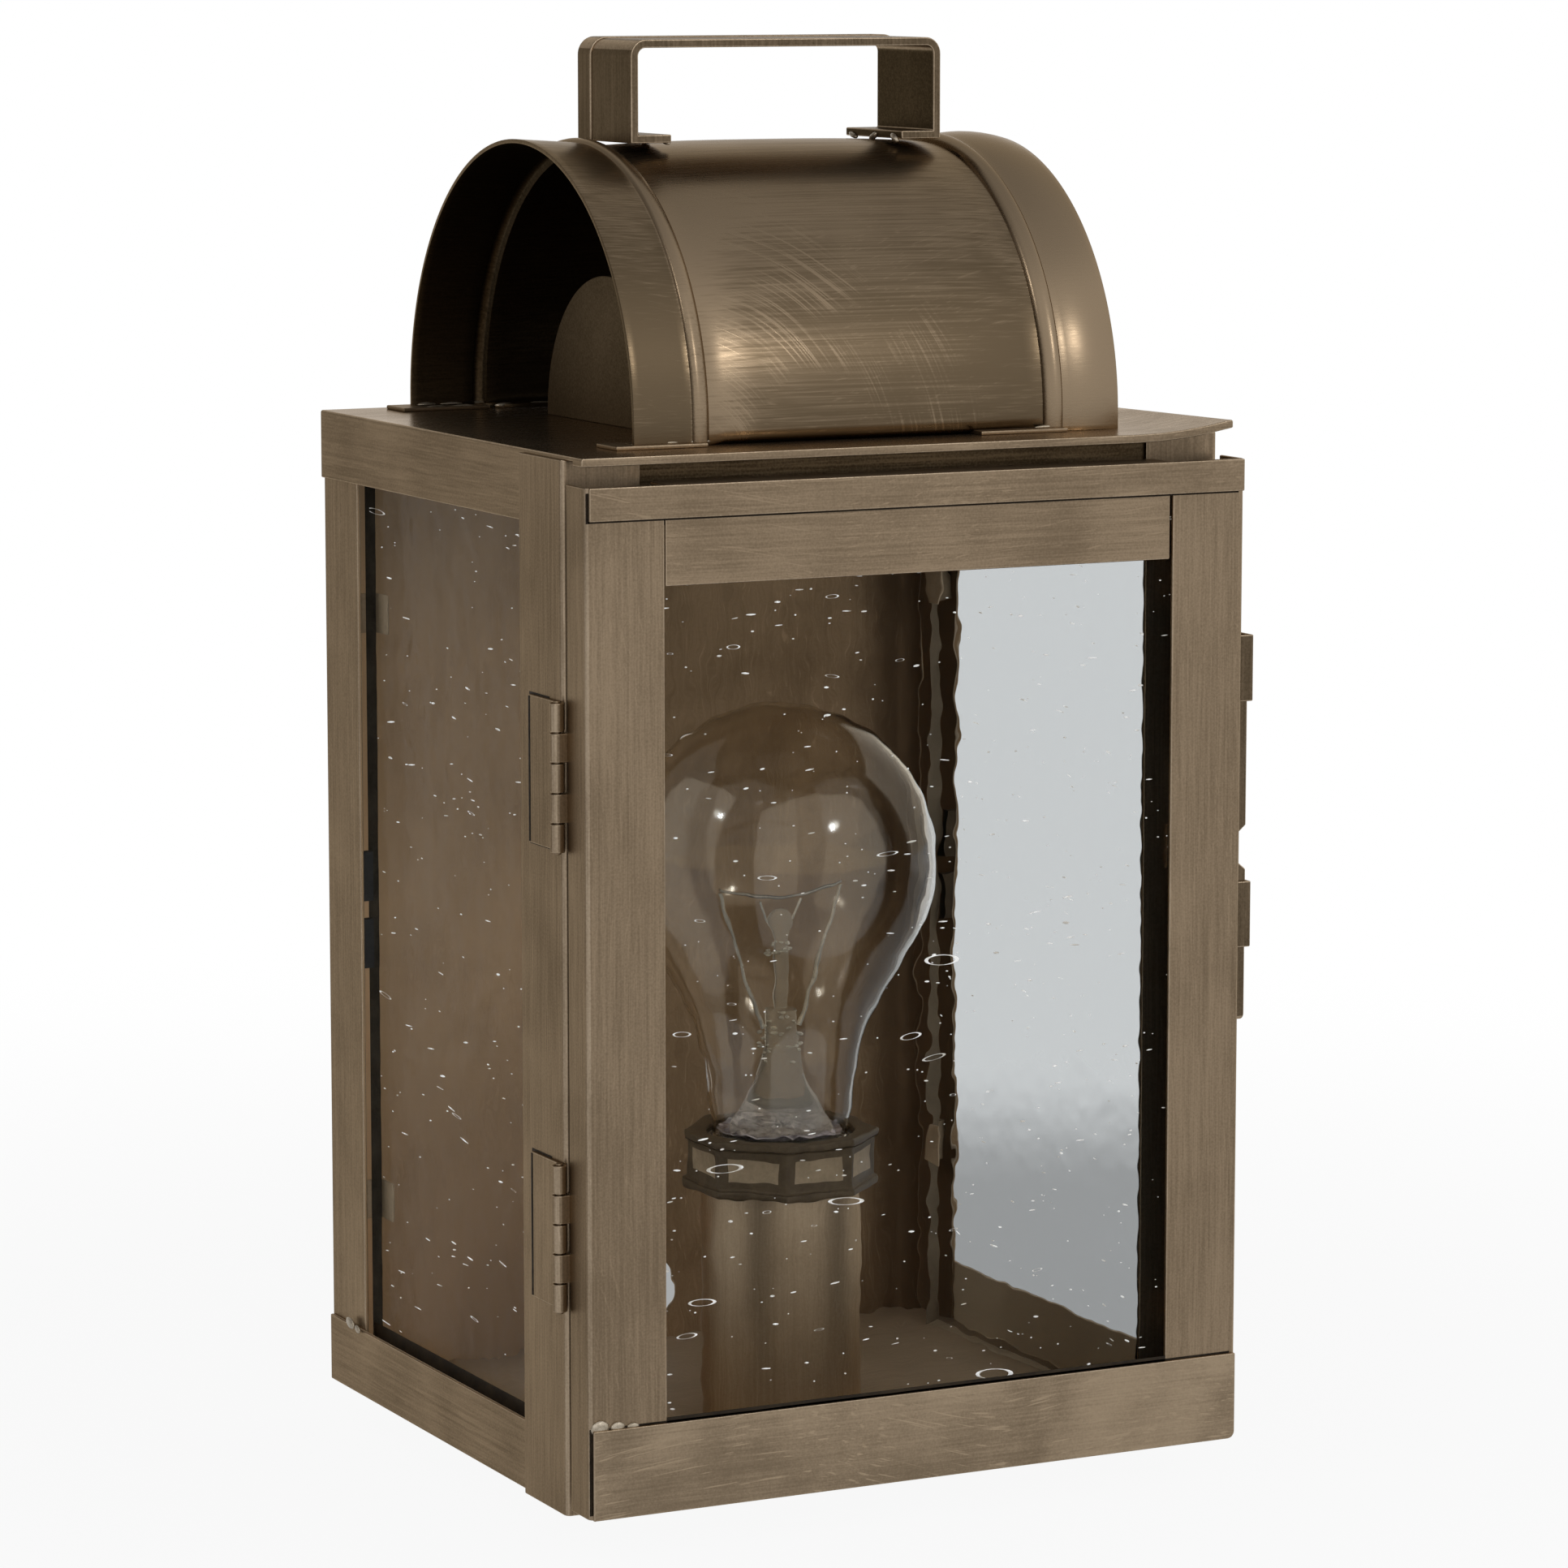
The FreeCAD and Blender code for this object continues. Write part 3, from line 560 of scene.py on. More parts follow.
@dataclass(frozen=True)
class BlownGlass(SeedyGlass):
    """Bulb glass, whose face mirrors the lamps softly."""

    def skin(self, sheet: ShaderSheet) -> dict[str, object]:
        """The sockets of the soft gloss, which fades towards the rim."""
        turned = sheet.node("ShaderNodeLayerWeight", values={"Blend": 0.5}, output="Facing")
        return {"Coat Weight": 1.0 - turned.between(0.22, 0.55), "Coat Roughness": 0.09, "Coat IOR": 1.60}


@dataclass(frozen=True)
class SeedBubble:
    """The pale skin of a bubble or stone caught in the glass, which glows with painted light from its
    emission.
    """

    name: str
    glow: float

    def material(self) -> bpy.types.Material:
        """Builds the finish.

        Returns:
            The material.
        """
        sheet, material = ShaderSheet.of_finish(self.name)
        cloud = sheet.noise(sheet.place(), 330.0, 2.0).between(0.34, 0.58)
        values = {
            "Base Color": sheet.blend(cloud, (0.60, 0.56, 0.50), (0.97, 0.96, 0.95)),
            "Roughness": cloud * 0.25 + 0.08,
            "Emission Color": sheet.blend(cloud, (0.42, 0.38, 0.32), (1.0, 0.98, 0.95)),
            "Emission Strength": self.glow,
        }
        sheet.finish(sheet.principled(values))
        return material


@dataclass(frozen=True)
class Coating:
    """A plain material with cloudy colour, such as phenolic, rubber, steel or solder."""

    name: str
    dark: Colour
    light: Colour
    roughness: float
    metallic: float = 0.0
    repeats: float = 180.0
    relief: float = 0.00002
    gloss: float = 0.5

    def material(self) -> bpy.types.Material:
        """Builds the finish.

        Returns:
            The material.
        """
        sheet, material = ShaderSheet.of_finish(self.name)
        place = sheet.place()
        cloud = sheet.noise(place, self.repeats, 4.0, 0.3)
        fine = sheet.noise(place, self.repeats * 7.0, 2.0)
        values = {
            "Base Color": sheet.blend((cloud * 0.7 + fine * 0.3).between(0.3, 0.7), self.dark, self.light),
            "Roughness": (cloud - 0.5) * 0.25 + self.roughness,
            "Metallic": self.metallic,
            "Specular IOR Level": self.gloss,
            "Normal": sheet.bump(cloud * 0.6 + fine * 0.4, self.relief),
        }
        sheet.finish(sheet.principled(values))
        return material


class Finish(Enum):
    """Every finish of the lantern."""

    UPRIGHT = Brass("brass_rubbed_upright", Grain.UPRIGHT)
    ACROSS = Brass("brass_rubbed_across", Grain.ACROSS, sweep=0.4, mottle=1.0)
    DEPTH = Brass("brass_rubbed_depth", Grain.DEPTH)
    # The barrel's finish carries painted highlights and painted shade, besides its polishing strokes.
    SWIRLED = SwirledBrass(
        "brass_polished_barrel_painted_light", Grain.ACROSS, (0.118, 0.085, 0.051), (0.256, 0.190, 0.124), 0.28
    )
    RAIL = Brass(
        "brass_bottom_rail", Grain.ACROSS, (0.205, 0.153, 0.100), (0.410, 0.314, 0.212), 0.38, 0.7,
        sweep=0.5, mottle=1.6,
    )
    # Wear and painted highlight: the eased edges are painted lighter, as rubbed brass and in place of the
    # highlight along each edge.
    WORN = Brass("brass_edge_wear_and_highlight", Grain.UPRIGHT, (0.270, 0.203, 0.135), (0.470, 0.368, 0.262), 0.34)
    # Painted light: the lining is lighter than the outer brass, standing in for light inside the lantern,
    # and lighter still towards the left.
    LINING = LiningBrass(
        "brass_lining_painted_light", Grain.UPRIGHT, (0.220, 0.141, 0.077), (0.560, 0.392, 0.238), 0.52, 0.25, 0.75
    )
    # Painted light: the tray is painted lighter than the outer brass, standing in for light inside the
    # lantern.
    TRAY = Brass("brass_tray", Grain.ACROSS, (0.280, 0.200, 0.123), (0.400, 0.293, 0.188), 0.62, 0.6, 0.25)
    # Painted light: the tray's inner skirts are painted far lighter than brass, against the shade that falls
    # on them.
    KERB = Brass(
        "brass_tray_kerb_painted_light", Grain.DEPTH, (0.600, 0.446, 0.286), (0.740, 0.558, 0.366), 0.62, 0.5, 0.15
    )
    PLATE = Brass("brass_roof_plate", Grain.ACROSS, (0.215, 0.158, 0.102), (0.450, 0.345, 0.240), 0.27)
    STRAP = Brass("brass_strap", Grain.UPRIGHT, (0.078, 0.056, 0.033), (0.172, 0.126, 0.081), 0.36)
    # Painted light: the riser is painted lighter than the outer brass, standing in for light inside the
    # lantern.
    RISER = Brass("brass_riser", Grain.UPRIGHT, (0.420, 0.316, 0.210), (0.645, 0.502, 0.350), 0.47, 0.7)
    # Painted shade: the header's dark finish stands in for the shade in the recess above the door.
    RECESS = Brass("brass_recess_painted_shade", Grain.ACROSS, (0.045, 0.029, 0.014), (0.130, 0.092, 0.053), 0.45, 1.6)
    # Painted shade: the front posts' inner faces and ends are painted dark where they lie in shade.
    SHADE = Brass("brass_post_inside_painted_shade", Grain.UPRIGHT, (0.045, 0.029, 0.014), (0.130, 0.092, 0.053), 0.45)
    # Painted shade: the barrel's inside and the strap's inner faces are painted dark.
    INSIDE = Brass(
        "brass_inside_painted_shade", Grain.ACROSS, (0.030, 0.020, 0.010), (0.085, 0.060, 0.034), 0.42
    )
    BAFFLE = Brass("brass_baffle", Grain.ACROSS, (0.085, 0.060, 0.033), (0.170, 0.124, 0.076), 0.50)
    CLIP = Brass("brass_clip", Grain.ACROSS)
    # Painted light: the clips are painted a light brown, so that in their shaded gap behind the glass they
    # don't show dark.
    BRONZED = Coating("clip_painted_light", (0.330, 0.240, 0.148), (0.450, 0.336, 0.215), 0.55, gloss=0.2)
    DOOR_PANE = SeedyGlass("door_pane_seedy", repeats=(150.0, 700.0, 150.0))
    LEFT_PANE = SeedyGlass("left_pane_seedy", repeats=(700.0, 150.0, 150.0))
    RIGHT_PANE = SmearedGlass(
        "right_pane_seedy",
        wave=0.0004,
        repeats=(700.0, 150.0, 150.0),
        front=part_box("front_right_post")[1][1],
        inside=(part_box("right_glass")[0][0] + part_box("right_glass")[1][0]) / 2,
    )
    PANE_EDGE = Coating("pane_edge_ground", (0.030, 0.025, 0.018), (0.065, 0.054, 0.040), 0.6, gloss=0.1)
    # Painted light: the door's and right pane's edges are painted light brown, so that where they are seen
    # in shade through the glass they don't show dark.
    PANE_RIM = Coating("pane_rim_painted_light", (0.420, 0.316, 0.203), (0.560, 0.430, 0.285), 0.6, gloss=0.1)
    PANE_REAR = Coating("pane_rear_bedded", (0.190, 0.143, 0.092), (0.260, 0.198, 0.130), 0.6, gloss=0.1)
    BULB = BlownGlass(
        "bulb_clear", (0.965, 0.930, 0.875), 0.00001, (60.0, 60.0, 60.0), 1.18, (1.0, 0.82, 0.62)
    )
    STEM = SeedyGlass(
        "stem_glass", (0.930, 0.885, 0.790), 0.00005, (260.0, 260.0, 260.0), 1.12, (1.0, 0.82, 0.62), 0.86
    )
    BEAD = Coating("stem_bead", (0.34, 0.29, 0.21), (0.95, 0.90, 0.78), 0.12, 0.0, 900.0, 0.0001)
    SEAL = Coating("seal_foil", (0.20, 0.185, 0.25), (0.86, 0.84, 0.96), 0.16, 0.55, 420.0, 0.0003)
    # The seeds glow with painted light; the right pane's seeds glow brighter.
    SEED = SeedBubble("glass_seed", 0.34)
    BRIGHT_SEED = SeedBubble("glass_seed_painted_glow", 0.9)
    COLLAR = Coating("collar_phenolic", (0.078, 0.053, 0.029), (0.130, 0.091, 0.053), 0.5, gloss=0.2)
    COLLAR_PANEL = Coating("collar_panel", (0.295, 0.214, 0.128), (0.430, 0.322, 0.204), 0.5, gloss=0.2)
    CUP = Coating("cup_phenolic", (0.018, 0.014, 0.011), (0.045, 0.036, 0.029), 0.45)
    RUBBER = Coating("pad_rubber", (0.006, 0.006, 0.006), (0.018, 0.017, 0.016), 0.7)
    BROWN_RUBBER = Coating("pad_rubber_brown", (0.055, 0.036, 0.019), (0.090, 0.061, 0.034), 0.7, gloss=0.1)
    # Painted shadow: the dark lines along the door's seams, round the hinge leaves and under the left pane.
    CREVICE = Coating("seam_painted_shadow", (0.014, 0.009, 0.005), (0.040, 0.028, 0.016), 0.6, gloss=0.2)
    SHELL = Coating("shell_aluminium", (0.42, 0.43, 0.47), (0.80, 0.81, 0.86), 0.28, 1.0, 500.0, 0.00006)
    STEEL = Coating("stud_steel", (0.34, 0.33, 0.31), (0.55, 0.54, 0.51), 0.36, 1.0)
    CONTACT = Coating("contact_brass", (0.50, 0.36, 0.16), (0.70, 0.53, 0.27), 0.3, 1.0)
    INSULATOR = Coating("cap_insulator", (0.010, 0.010, 0.012), (0.03, 0.03, 0.035), 0.25)
    SOLDER = Coating("solder_dull", (0.30, 0.25, 0.18), (0.62, 0.54, 0.43), 0.36, 0.85, 420.0, 0.00012)
    LEAD = Coating("lead_nickel", (0.50, 0.48, 0.44), (0.78, 0.76, 0.70), 0.25, 1.0)
    TUNGSTEN = Coating("filament_tungsten", (0.30, 0.29, 0.27), (0.62, 0.60, 0.56), 0.35, 1.0)

    @cached_property
    def made(self) -> bpy.types.Material:
        """The material, built when it is first asked for."""
        return self.value.material()


Fold = tuple[Finish, ...]
UPRIGHT_FOLD: Fold = (Finish.UPRIGHT, Finish.UPRIGHT, Finish.ACROSS)
PAN_FOLD: Fold = (Finish.DEPTH, Finish.ACROSS, Finish.ACROSS)
BACK_FOLD: Fold = (Finish.UPRIGHT, Finish.LINING, Finish.ACROSS)
POST_FOLD: Fold = (Finish.UPRIGHT, Finish.UPRIGHT, Finish.SHADE)
TRAY_FOLD: Fold = (Finish.DEPTH, Finish.ACROSS, Finish.TRAY, Finish.KERB)
ROOF_FOLD: Fold = (Finish.DEPTH, Finish.ACROSS, Finish.PLATE)
STRAP_FOLD: Fold = (Finish.STRAP, Finish.STRAP, Finish.STRAP, Finish.INSIDE, Finish.PLATE)
LATCH_FOLD: Fold = (Finish.UPRIGHT, Finish.STRAP, Finish.STRAP)
RAIL_FOLD: Fold = (Finish.DEPTH, Finish.RAIL, Finish.RAIL)
RISER_FOLD: Fold = (Finish.RISER, Finish.RISER, Finish.ACROSS)
HEADER_FOLD: Fold = (Finish.RECESS, Finish.RECESS, Finish.RECESS)


class Bench:
    """The modelling bench, where one piece at a time is worked on."""

    @staticmethod
    def clear() -> None:
        """Leaves nothing selected."""
        bpy.ops.object.select_all(action="DESELECT")

    @staticmethod
    def take(piece: bpy.types.Object) -> None:
        """Selects one piece and makes it active.

        Args:
            piece: The piece to work on.
        """
        Bench.clear()
        piece.select_set(True)
        bpy.context.view_layer.objects.active = piece

    @staticmethod
    @contextmanager
    def editing(piece: bpy.types.Object) -> Iterator[None]:
        """Opens a piece in edit mode and closes it again.

        Args:
            piece: The piece to edit.

        Returns:
            Nothing, while the piece is open.
        """
        Bench.take(piece)
        bpy.ops.object.mode_set(mode="EDIT")
        bpy.ops.mesh.select_mode(type="VERT")
        bpy.ops.mesh.select_all(action="SELECT")
        yield
        bpy.ops.object.mode_set(mode="OBJECT")

    @staticmethod
    def pick(kind: Element, test: Callable[[object], bool]) -> None:
        """Selects the elements of the open piece that pass a test, and no others.

        Args:
            kind: What to select.
            test: Says whether an element is wanted.
        """
        bpy.ops.mesh.select_mode(type=kind.value)
        bpy.ops.mesh.select_all(action="DESELECT")
        data = bpy.context.object.data
        mesh = bmesh.from_edit_mesh(data)
        for element in getattr(mesh, kind.name.lower()):
            if test(element):
                element.select_set(True)
        mesh.select_flush_mode()
        bmesh.update_edit_mesh(data)

    @staticmethod
    def corners(piece: bpy.types.Object) -> Iterator[Vector]:
        """Gives each corner of the open piece to be moved.

        Args:
            piece: The open piece.

        Returns:
            The corners' places, one after another.
        """
        mesh = bmesh.from_edit_mesh(piece.data)
        for vert in mesh.verts:
            yield vert.co
        bmesh.update_edit_mesh(piece.data)

    @staticmethod
    def clone(model: bpy.types.Object, place: Matrix) -> bpy.types.Object:
        """Copies a model, with a mesh of its own.

        Args:
            model: The model.
            place: The copy's place, turn and size.

        Returns:
            The copy.
        """
        copy = model.copy()
        copy.data = model.data.copy()
        bpy.context.scene.collection.objects.link(copy)
        copy.matrix_world = place
        return copy

    @staticmethod
    def join(name: str, made: list[bpy.types.Object]) -> bpy.types.Object:
        """Joins what was made into one piece.

        Args:
            name: The piece's name.
            made: What it is joined from.

        Returns:
            The piece, with its place in its mesh.
        """
        Bench.take(made[0])
        for part in made:
            part.select_set(True)
        if len(made) > 1:
            bpy.ops.object.join()
        piece = bpy.context.object
        piece.name = name
        Bench.settle(piece)
        return piece

    @staticmethod
    def settle(piece: bpy.types.Object) -> None:
        """Puts a piece's place, turn and scale into its mesh."""
        Bench.take(piece)
        bpy.ops.object.transform_apply(location=True, rotation=True, scale=True)

    @staticmethod
    def apply(piece: bpy.types.Object, kind: str, **settings: object) -> None:
        """Adds a modifier and applies it.

        Args:
            piece: The piece to modify.
            kind: The modifier's type.
            **settings: Its settings.
        """
        Bench.take(piece)
        modifier = piece.modifiers.new(kind.lower(), kind)
        for key, value in settings.items():
            setattr(modifier, key, value)
        bpy.ops.object.modifier_apply(modifier=modifier.name)

    @staticmethod
    def smooth(piece: bpy.types.Object, degrees: float) -> None:
        """Shades a piece smooth, apart from edges sharper than an angle."""
        Bench.take(piece)
        bpy.ops.object.shade_smooth_by_angle(angle=math.radians(degrees))

    @staticmethod
    def chain(name: str, points: list[Point]) -> bpy.types.Object:
        """Draws an open line of edges by extruding one corner of a plane.

        Args:
            name: The piece's name.
            points: The line's points.

        Returns:
            The piece.
        """
        Bench.clear()
        bpy.ops.mesh.primitive_plane_add(size=0.001, location=points[0])
        piece = bpy.context.object
        piece.name = name
        Bench.settle(piece)
        with Bench.editing(piece):
            bpy.ops.mesh.merge(type="CENTER")
            for start, end in zip(points, points[1:]):
                move = Vector(end) - Vector(start)
                bpy.ops.mesh.extrude_region_move(TRANSFORM_OT_translate={"value": move})
        return piece

    @staticmethod
    def spin(steps: int, angle: float, centre: Point, axis: Point, merge: float) -> None:
        """Spins the open piece's line about an axis and merges the corners that meet.

        Args:
            steps: The number of steps.
            angle: The angle of the spin.
            centre: A point on the axis.
            axis: The axis.
            merge: The distance within which corners meet.
        """
        bpy.ops.mesh.spin(steps=steps, angle=angle, center=centre, axis=axis)
        bpy.ops.mesh.select_all(action="SELECT")
        bpy.ops.mesh.remove_doubles(threshold=merge)

    @staticmethod
    def copy_of(node: str) -> bpy.types.Object:
        """Copies a CAD node, with its loose triangles merged into whole faces.

        Args:
            node: The node's name.

        Returns:
            The copy.
        """
        piece = bpy.data.objects.new(f"{node}_dressed", frame["nodes"][node].data.copy())
        bpy.context.scene.collection.objects.link(piece)
        Bench.take(piece)
        bpy.ops.mesh.customdata_custom_splitnormals_clear()
        with Bench.editing(piece):
            bpy.ops.mesh.remove_doubles(threshold=SAME_CORNER)
            bpy.ops.mesh.dissolve_limited(angle_limit=math.radians(0.5))
        return piece

    @staticmethod
    def ease_edges(piece: bpy.types.Object, width: float) -> None:
        """Rounds the sharp edges of a piece.

        Args:
            piece: The piece to ease.
            width: The width of the rounding.
        """
        with Bench.editing(piece):
            bpy.ops.mesh.select_mode(type="EDGE")
            bpy.ops.mesh.select_all(action="DESELECT")
            bpy.ops.mesh.edges_select_sharp(sharpness=math.radians(40))
            bpy.ops.mesh.bevel(offset=width, segments=2, affect="EDGES", clamp_overlap=False)
        Bench.smooth(piece, 40.0)
        Bench.apply(piece, "WEIGHTED_NORMAL", mode="FACE_AREA", weight=100, keep_sharp=True)

    @staticmethod
    def place(piece: bpy.types.Object, body: Body, node: str | None = None, slot: str | None = None) -> None:
        """Sets a piece on its body and, where it stands for a node, hides the node.

        Args:
            piece: The finished piece.
            body: The body that it moves with.
            node: The CAD node that it stands for.
            slot: Not used.
        """
        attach(piece, body.value)
        if node is not None:
            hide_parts(node)
        LOG.info("%s on %s", piece.name, body.value)

    @staticmethod
    def paint(piece: bpy.types.Object, *finishes: Finish) -> None:
        """Gives a piece its finishes, and the first of them to every face.

        Args:
            piece: The piece to paint.
            *finishes: The finishes, in the order that the faces count them.
        """
        piece.data.materials.clear()
        for finish in finishes:
            piece.data.materials.append(finish.made)
        for face in piece.data.polygons:
            face.material_index = 0


@dataclass
class SheetWork:
    """Dresses folded brass: eased edges, and a grain for each way that a face looks."""

    edge: float = 0.00024
    flat: float = 0.93

    def rub(self, piece: bpy.types.Object, fold: Fold, worn: bool) -> None:
        """Paints each face with the finish for the axis that it faces.

        Args:
            piece: The piece to paint.
            fold: The finishes of the faces that look along X, Y and Z, and any others that it needs.
            worn: Whether the eased edges get the lighter edge finish, which is wear and a painted highlight.
        """
        Bench.paint(piece, *fold, Finish.WORN)
        for face in piece.data.polygons:
            sizes = [abs(value) for value in face.normal]
            is_edge = worn and max(sizes) < self.flat
            face.material_index = len(fold) if is_edge else sizes.index(max(sizes))

    def dress(
        self,
        node: str,
        body: Body,
        fold: Fold,
        slot: str = "aged_brass",
        shape: Callable[[bpy.types.Object], None] | None = None,
        worn: bool = True,
    ) -> bpy.types.Object:
        """Makes the finished piece of one folded node.

        Args:
            node: The CAD node.
            body: The body that it moves with.
            fold: The finishes of the faces that look along X, Y and Z.
            slot: The record's material slot.
            shape: Changes the form before the edges are eased.
            worn: Whether the eased edges get the lighter edge finish, which is wear and a painted highlight.

        Returns:
            The piece.
        """
        piece = Bench.copy_of(node)
        if shape is not None:
            shape(piece)
        Bench.ease_edges(piece, self.edge)
        self.rub(piece, fold, worn)
        Bench.place(piece, body, node, slot)
        return piece

    @staticmethod
    def line(piece: bpy.types.Object, index: int, square: float = 0.9) -> None:
        """Gives the faces that look into the lantern from its sides the piece's inner finish, which is
        painted light on the tray and the back panel and painted shade on the posts and the strap.

        Args:
            piece: The folded piece.
            index: The place of the inner finish among the piece's materials.
            square: How squarely such a face looks inwards, where 1 is wholly.
        """
        for face in piece.data.polygons:
            if face.normal.x * face.center.x < -square * abs(face.center.x):
                face.material_index = index

    @staticmethod
    def keep(kept: dict[str, Finish]) -> None:
        """Gives their finishes to CAD nodes that are shown as they are.

        Args:
            kept: The nodes and their finishes.
        """
        for node, finish in kept.items():
            Bench.paint(frame["nodes"][node], finish)
            LOG.info("%s kept", node)


@dataclass
class BodyShell:
    """Roof plate, base tray, back panel, corner posts and header."""

    work: SheetWork
    lip_bend_start: float = 0.048
    lip_bend_rise: float = 0.0022
    lip_reach: float = -0.112
    kerb_turn: float = 0.3

    def bend_lip(self, piece: bpy.types.Object) -> None:
        """Bends the right end of the roof's front lip up a little.

        Args:
            piece: The roof plate.
        """
        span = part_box("roof_pan")[1][0] - self.lip_bend_start
        with Bench.editing(piece):
            for share in (0.0, 0.25, 0.5, 0.75):
                bpy.ops.mesh.select_all(action="SELECT")
                cut = (self.lip_bend_start + share * span, 0.0, 0.0)
                bpy.ops.mesh.bisect(plane_co=cut, plane_no=(1, 0, 0))
            for place in Bench.corners(piece):
                along = place.x - self.lip_bend_start
                if along > 0.0 and place.y < self.lip_reach:
                    place.z += self.lip_bend_rise * (along / span) ** 2

    def build(self) -> None:
        """Makes the six pieces."""
        self.work.dress("roof_pan", Body.LANTERN, ROOF_FOLD, shape=self.bend_lip)
        tray = self.work.dress("base_pan", Body.LANTERN, TRAY_FOLD)
        self.work.line(tray, TRAY_FOLD.index(Finish.KERB), self.kerb_turn)
        back = self.work.dress("back_panel", Body.LANTERN, BACK_FOLD)
        self.work.line(back, BACK_FOLD.index(Finish.LINING))
        for node in ("front_left_post", "front_right_post"):
            post = self.work.dress(node, Body.LANTERN, POST_FOLD)
            self.work.line(post, POST_FOLD.index(Finish.SHADE))
        self.work.dress("front_header", Body.LANTERN, HEADER_FOLD)


@dataclass
class BarrelRoof:
    """Half-round vent roof with a flared and a crowned collar, two beads and a curled lower edge."""

    radius: float = 0.0523
    half_length: float = 0.052
    axis_y: float = -0.0592
    axis_z: float = 0.1027
    seat: float = 0.10005
    bead_place: float = 0.0377
    bead_half: float = 0.0019
    bead_height: float = 0.0012
    collar_crown: float = 0.0009
    shoulder_drop: float = 0.0009
    flare: float = 0.0008
    sheet: float = 0.0008
    flange: float = 0.004
    curl: float = 0.0016
    edge: float = 0.00018
    inward: float = -0.2
    steps: int = 96
    shoulder_parts: int = 10
    bead_parts: int = 8

    def outline(self) -> list[tuple[float, float]]:
        """Draws the line that is spun.

        Returns:
            Places along the barrel and radii.
        """
        inner = self.bead_place - self.bead_half
        outer = self.bead_place + self.bead_half
        half = []
        for part in range(self.shoulder_parts + 1):
            share = part / self.shoulder_parts
            half.append((inner * share, self.radius - self.shoulder_drop * share**3))
        for part in range(1, self.bead_parts + 1):
            turn = math.pi * part / self.bead_parts
            along = self.bead_place - self.bead_half * math.cos(turn)
            sunk = self.shoulder_drop * 0.5 * (1.0 + math.cos(turn))
            half.append((along, self.radius - sunk + self.bead_height * math.sin(turn)))
        for part in range(1, self.bead_parts + 1):
            share = part / self.bead_parts
            along = outer + (self.half_length - outer) * share
            crown = self.collar_crown * (1.0 - (2.0 * share - 1.0) ** 2)
            half.append((along, self.radius + crown))
        left = []
        for along, radius in reversed(half[1:]):
            share = (along - outer) / (self.half_length - outer)
            left.append((-along, self.radius + self.flare * share if share > 0.0 else radius))
        return left + half

    def shape(self) -> bpy.types.Object:
        """Spins the sheet, lets down its feet and gives it its thickness.

        Returns:
            The barrel.
        """
        line = [(along, self.axis_y - radius, self.axis_z) for along, radius in self.outline()]
        piece = Bench.chain("barrel_roof_dressed", line)
        with Bench.editing(piece):
            Bench.spin(self.steps, math.pi, (0, self.axis_y, self.axis_z), (1, 0, 0), SAME_CORNER)
            drop = (self.axis_z - self.seat) / 3
            level = self.axis_z
            for share in (0.0, 0.3, 1.0):
                Bench.pick(Element.EDGES, lambda edge: self.is_foot(edge, level))
                bpy.ops.mesh.extrude_region_move(TRANSFORM_OT_translate={"value": (0, 0, -drop)})
                level -= drop
                self.curl_in(piece, level, share)
            for side in (-1, 1):
                Bench.pick(Element.EDGES, lambda edge: self.is_foot(edge, level, side))
                inwards = (0, -side * self.flange, 0)
                bpy.ops.mesh.extrude_region_move(TRANSFORM_OT_translate={"value": inwards})
            bpy.ops.mesh.select_all(action="SELECT")
            bpy.ops.mesh.normals_make_consistent(inside=False)
        Bench.apply(piece, "SOLIDIFY", thickness=self.sheet, offset=-1.0, use_even_offset=True)
        sharp = math.radians(50)
        Bench.apply(piece, "BEVEL", width=self.edge, segments=2, limit_method="ANGLE", angle_limit=sharp)
        Bench.smooth(piece, 40.0)
        return piece

    def is_foot(self, edge: bmesh.types.BMEdge, level: float, side: int = 0) -> bool:
        """Says whether an edge runs along a foot at a level: the front's, the rear's or either."""
        on_level = all(abs(vert.co.z - level) < SAME_LEVEL for vert in edge.verts)
        return on_level and all(side * (vert.co.y - self.axis_y) >= 0 for vert in edge.verts)

    def curl_in(self, piece: bpy.types.Object, level: float, share: float) -> None:
        """Draws the foot in between the beads.

        Args:
            piece: The open barrel.
            level: The foot's height.
            share: The share of the curl at that height.
        """
        inner = self.bead_place - self.bead_half - 0.0001
        for place in Bench.corners(piece):
            if abs(place.z - level) < SAME_LEVEL and abs(place.x) < inner:
                place.y -= math.copysign(self.curl * share, place.y - self.axis_y)

    def dress(self, piece: bpy.types.Object) -> None:
        """Gives the outside the barrel's finish and the inside faces painted shade.

        Args:
            piece: The barrel.
        """
        Bench.paint(piece, Finish.SWIRLED, Finish.INSIDE)
        for face in piece.data.polygons:
            out = Vector((0.0, face.center.y - self.axis_y, face.center.z - self.axis_z))
            face.material_index = int(face.normal.dot(out.normalized()) < self.inward)
        Bench.place(piece, Body.LANTERN, "barrel_roof", "aged_brass")

    def build(self) -> None:
        """Makes the barrel."""
        self.dress(self.shape())


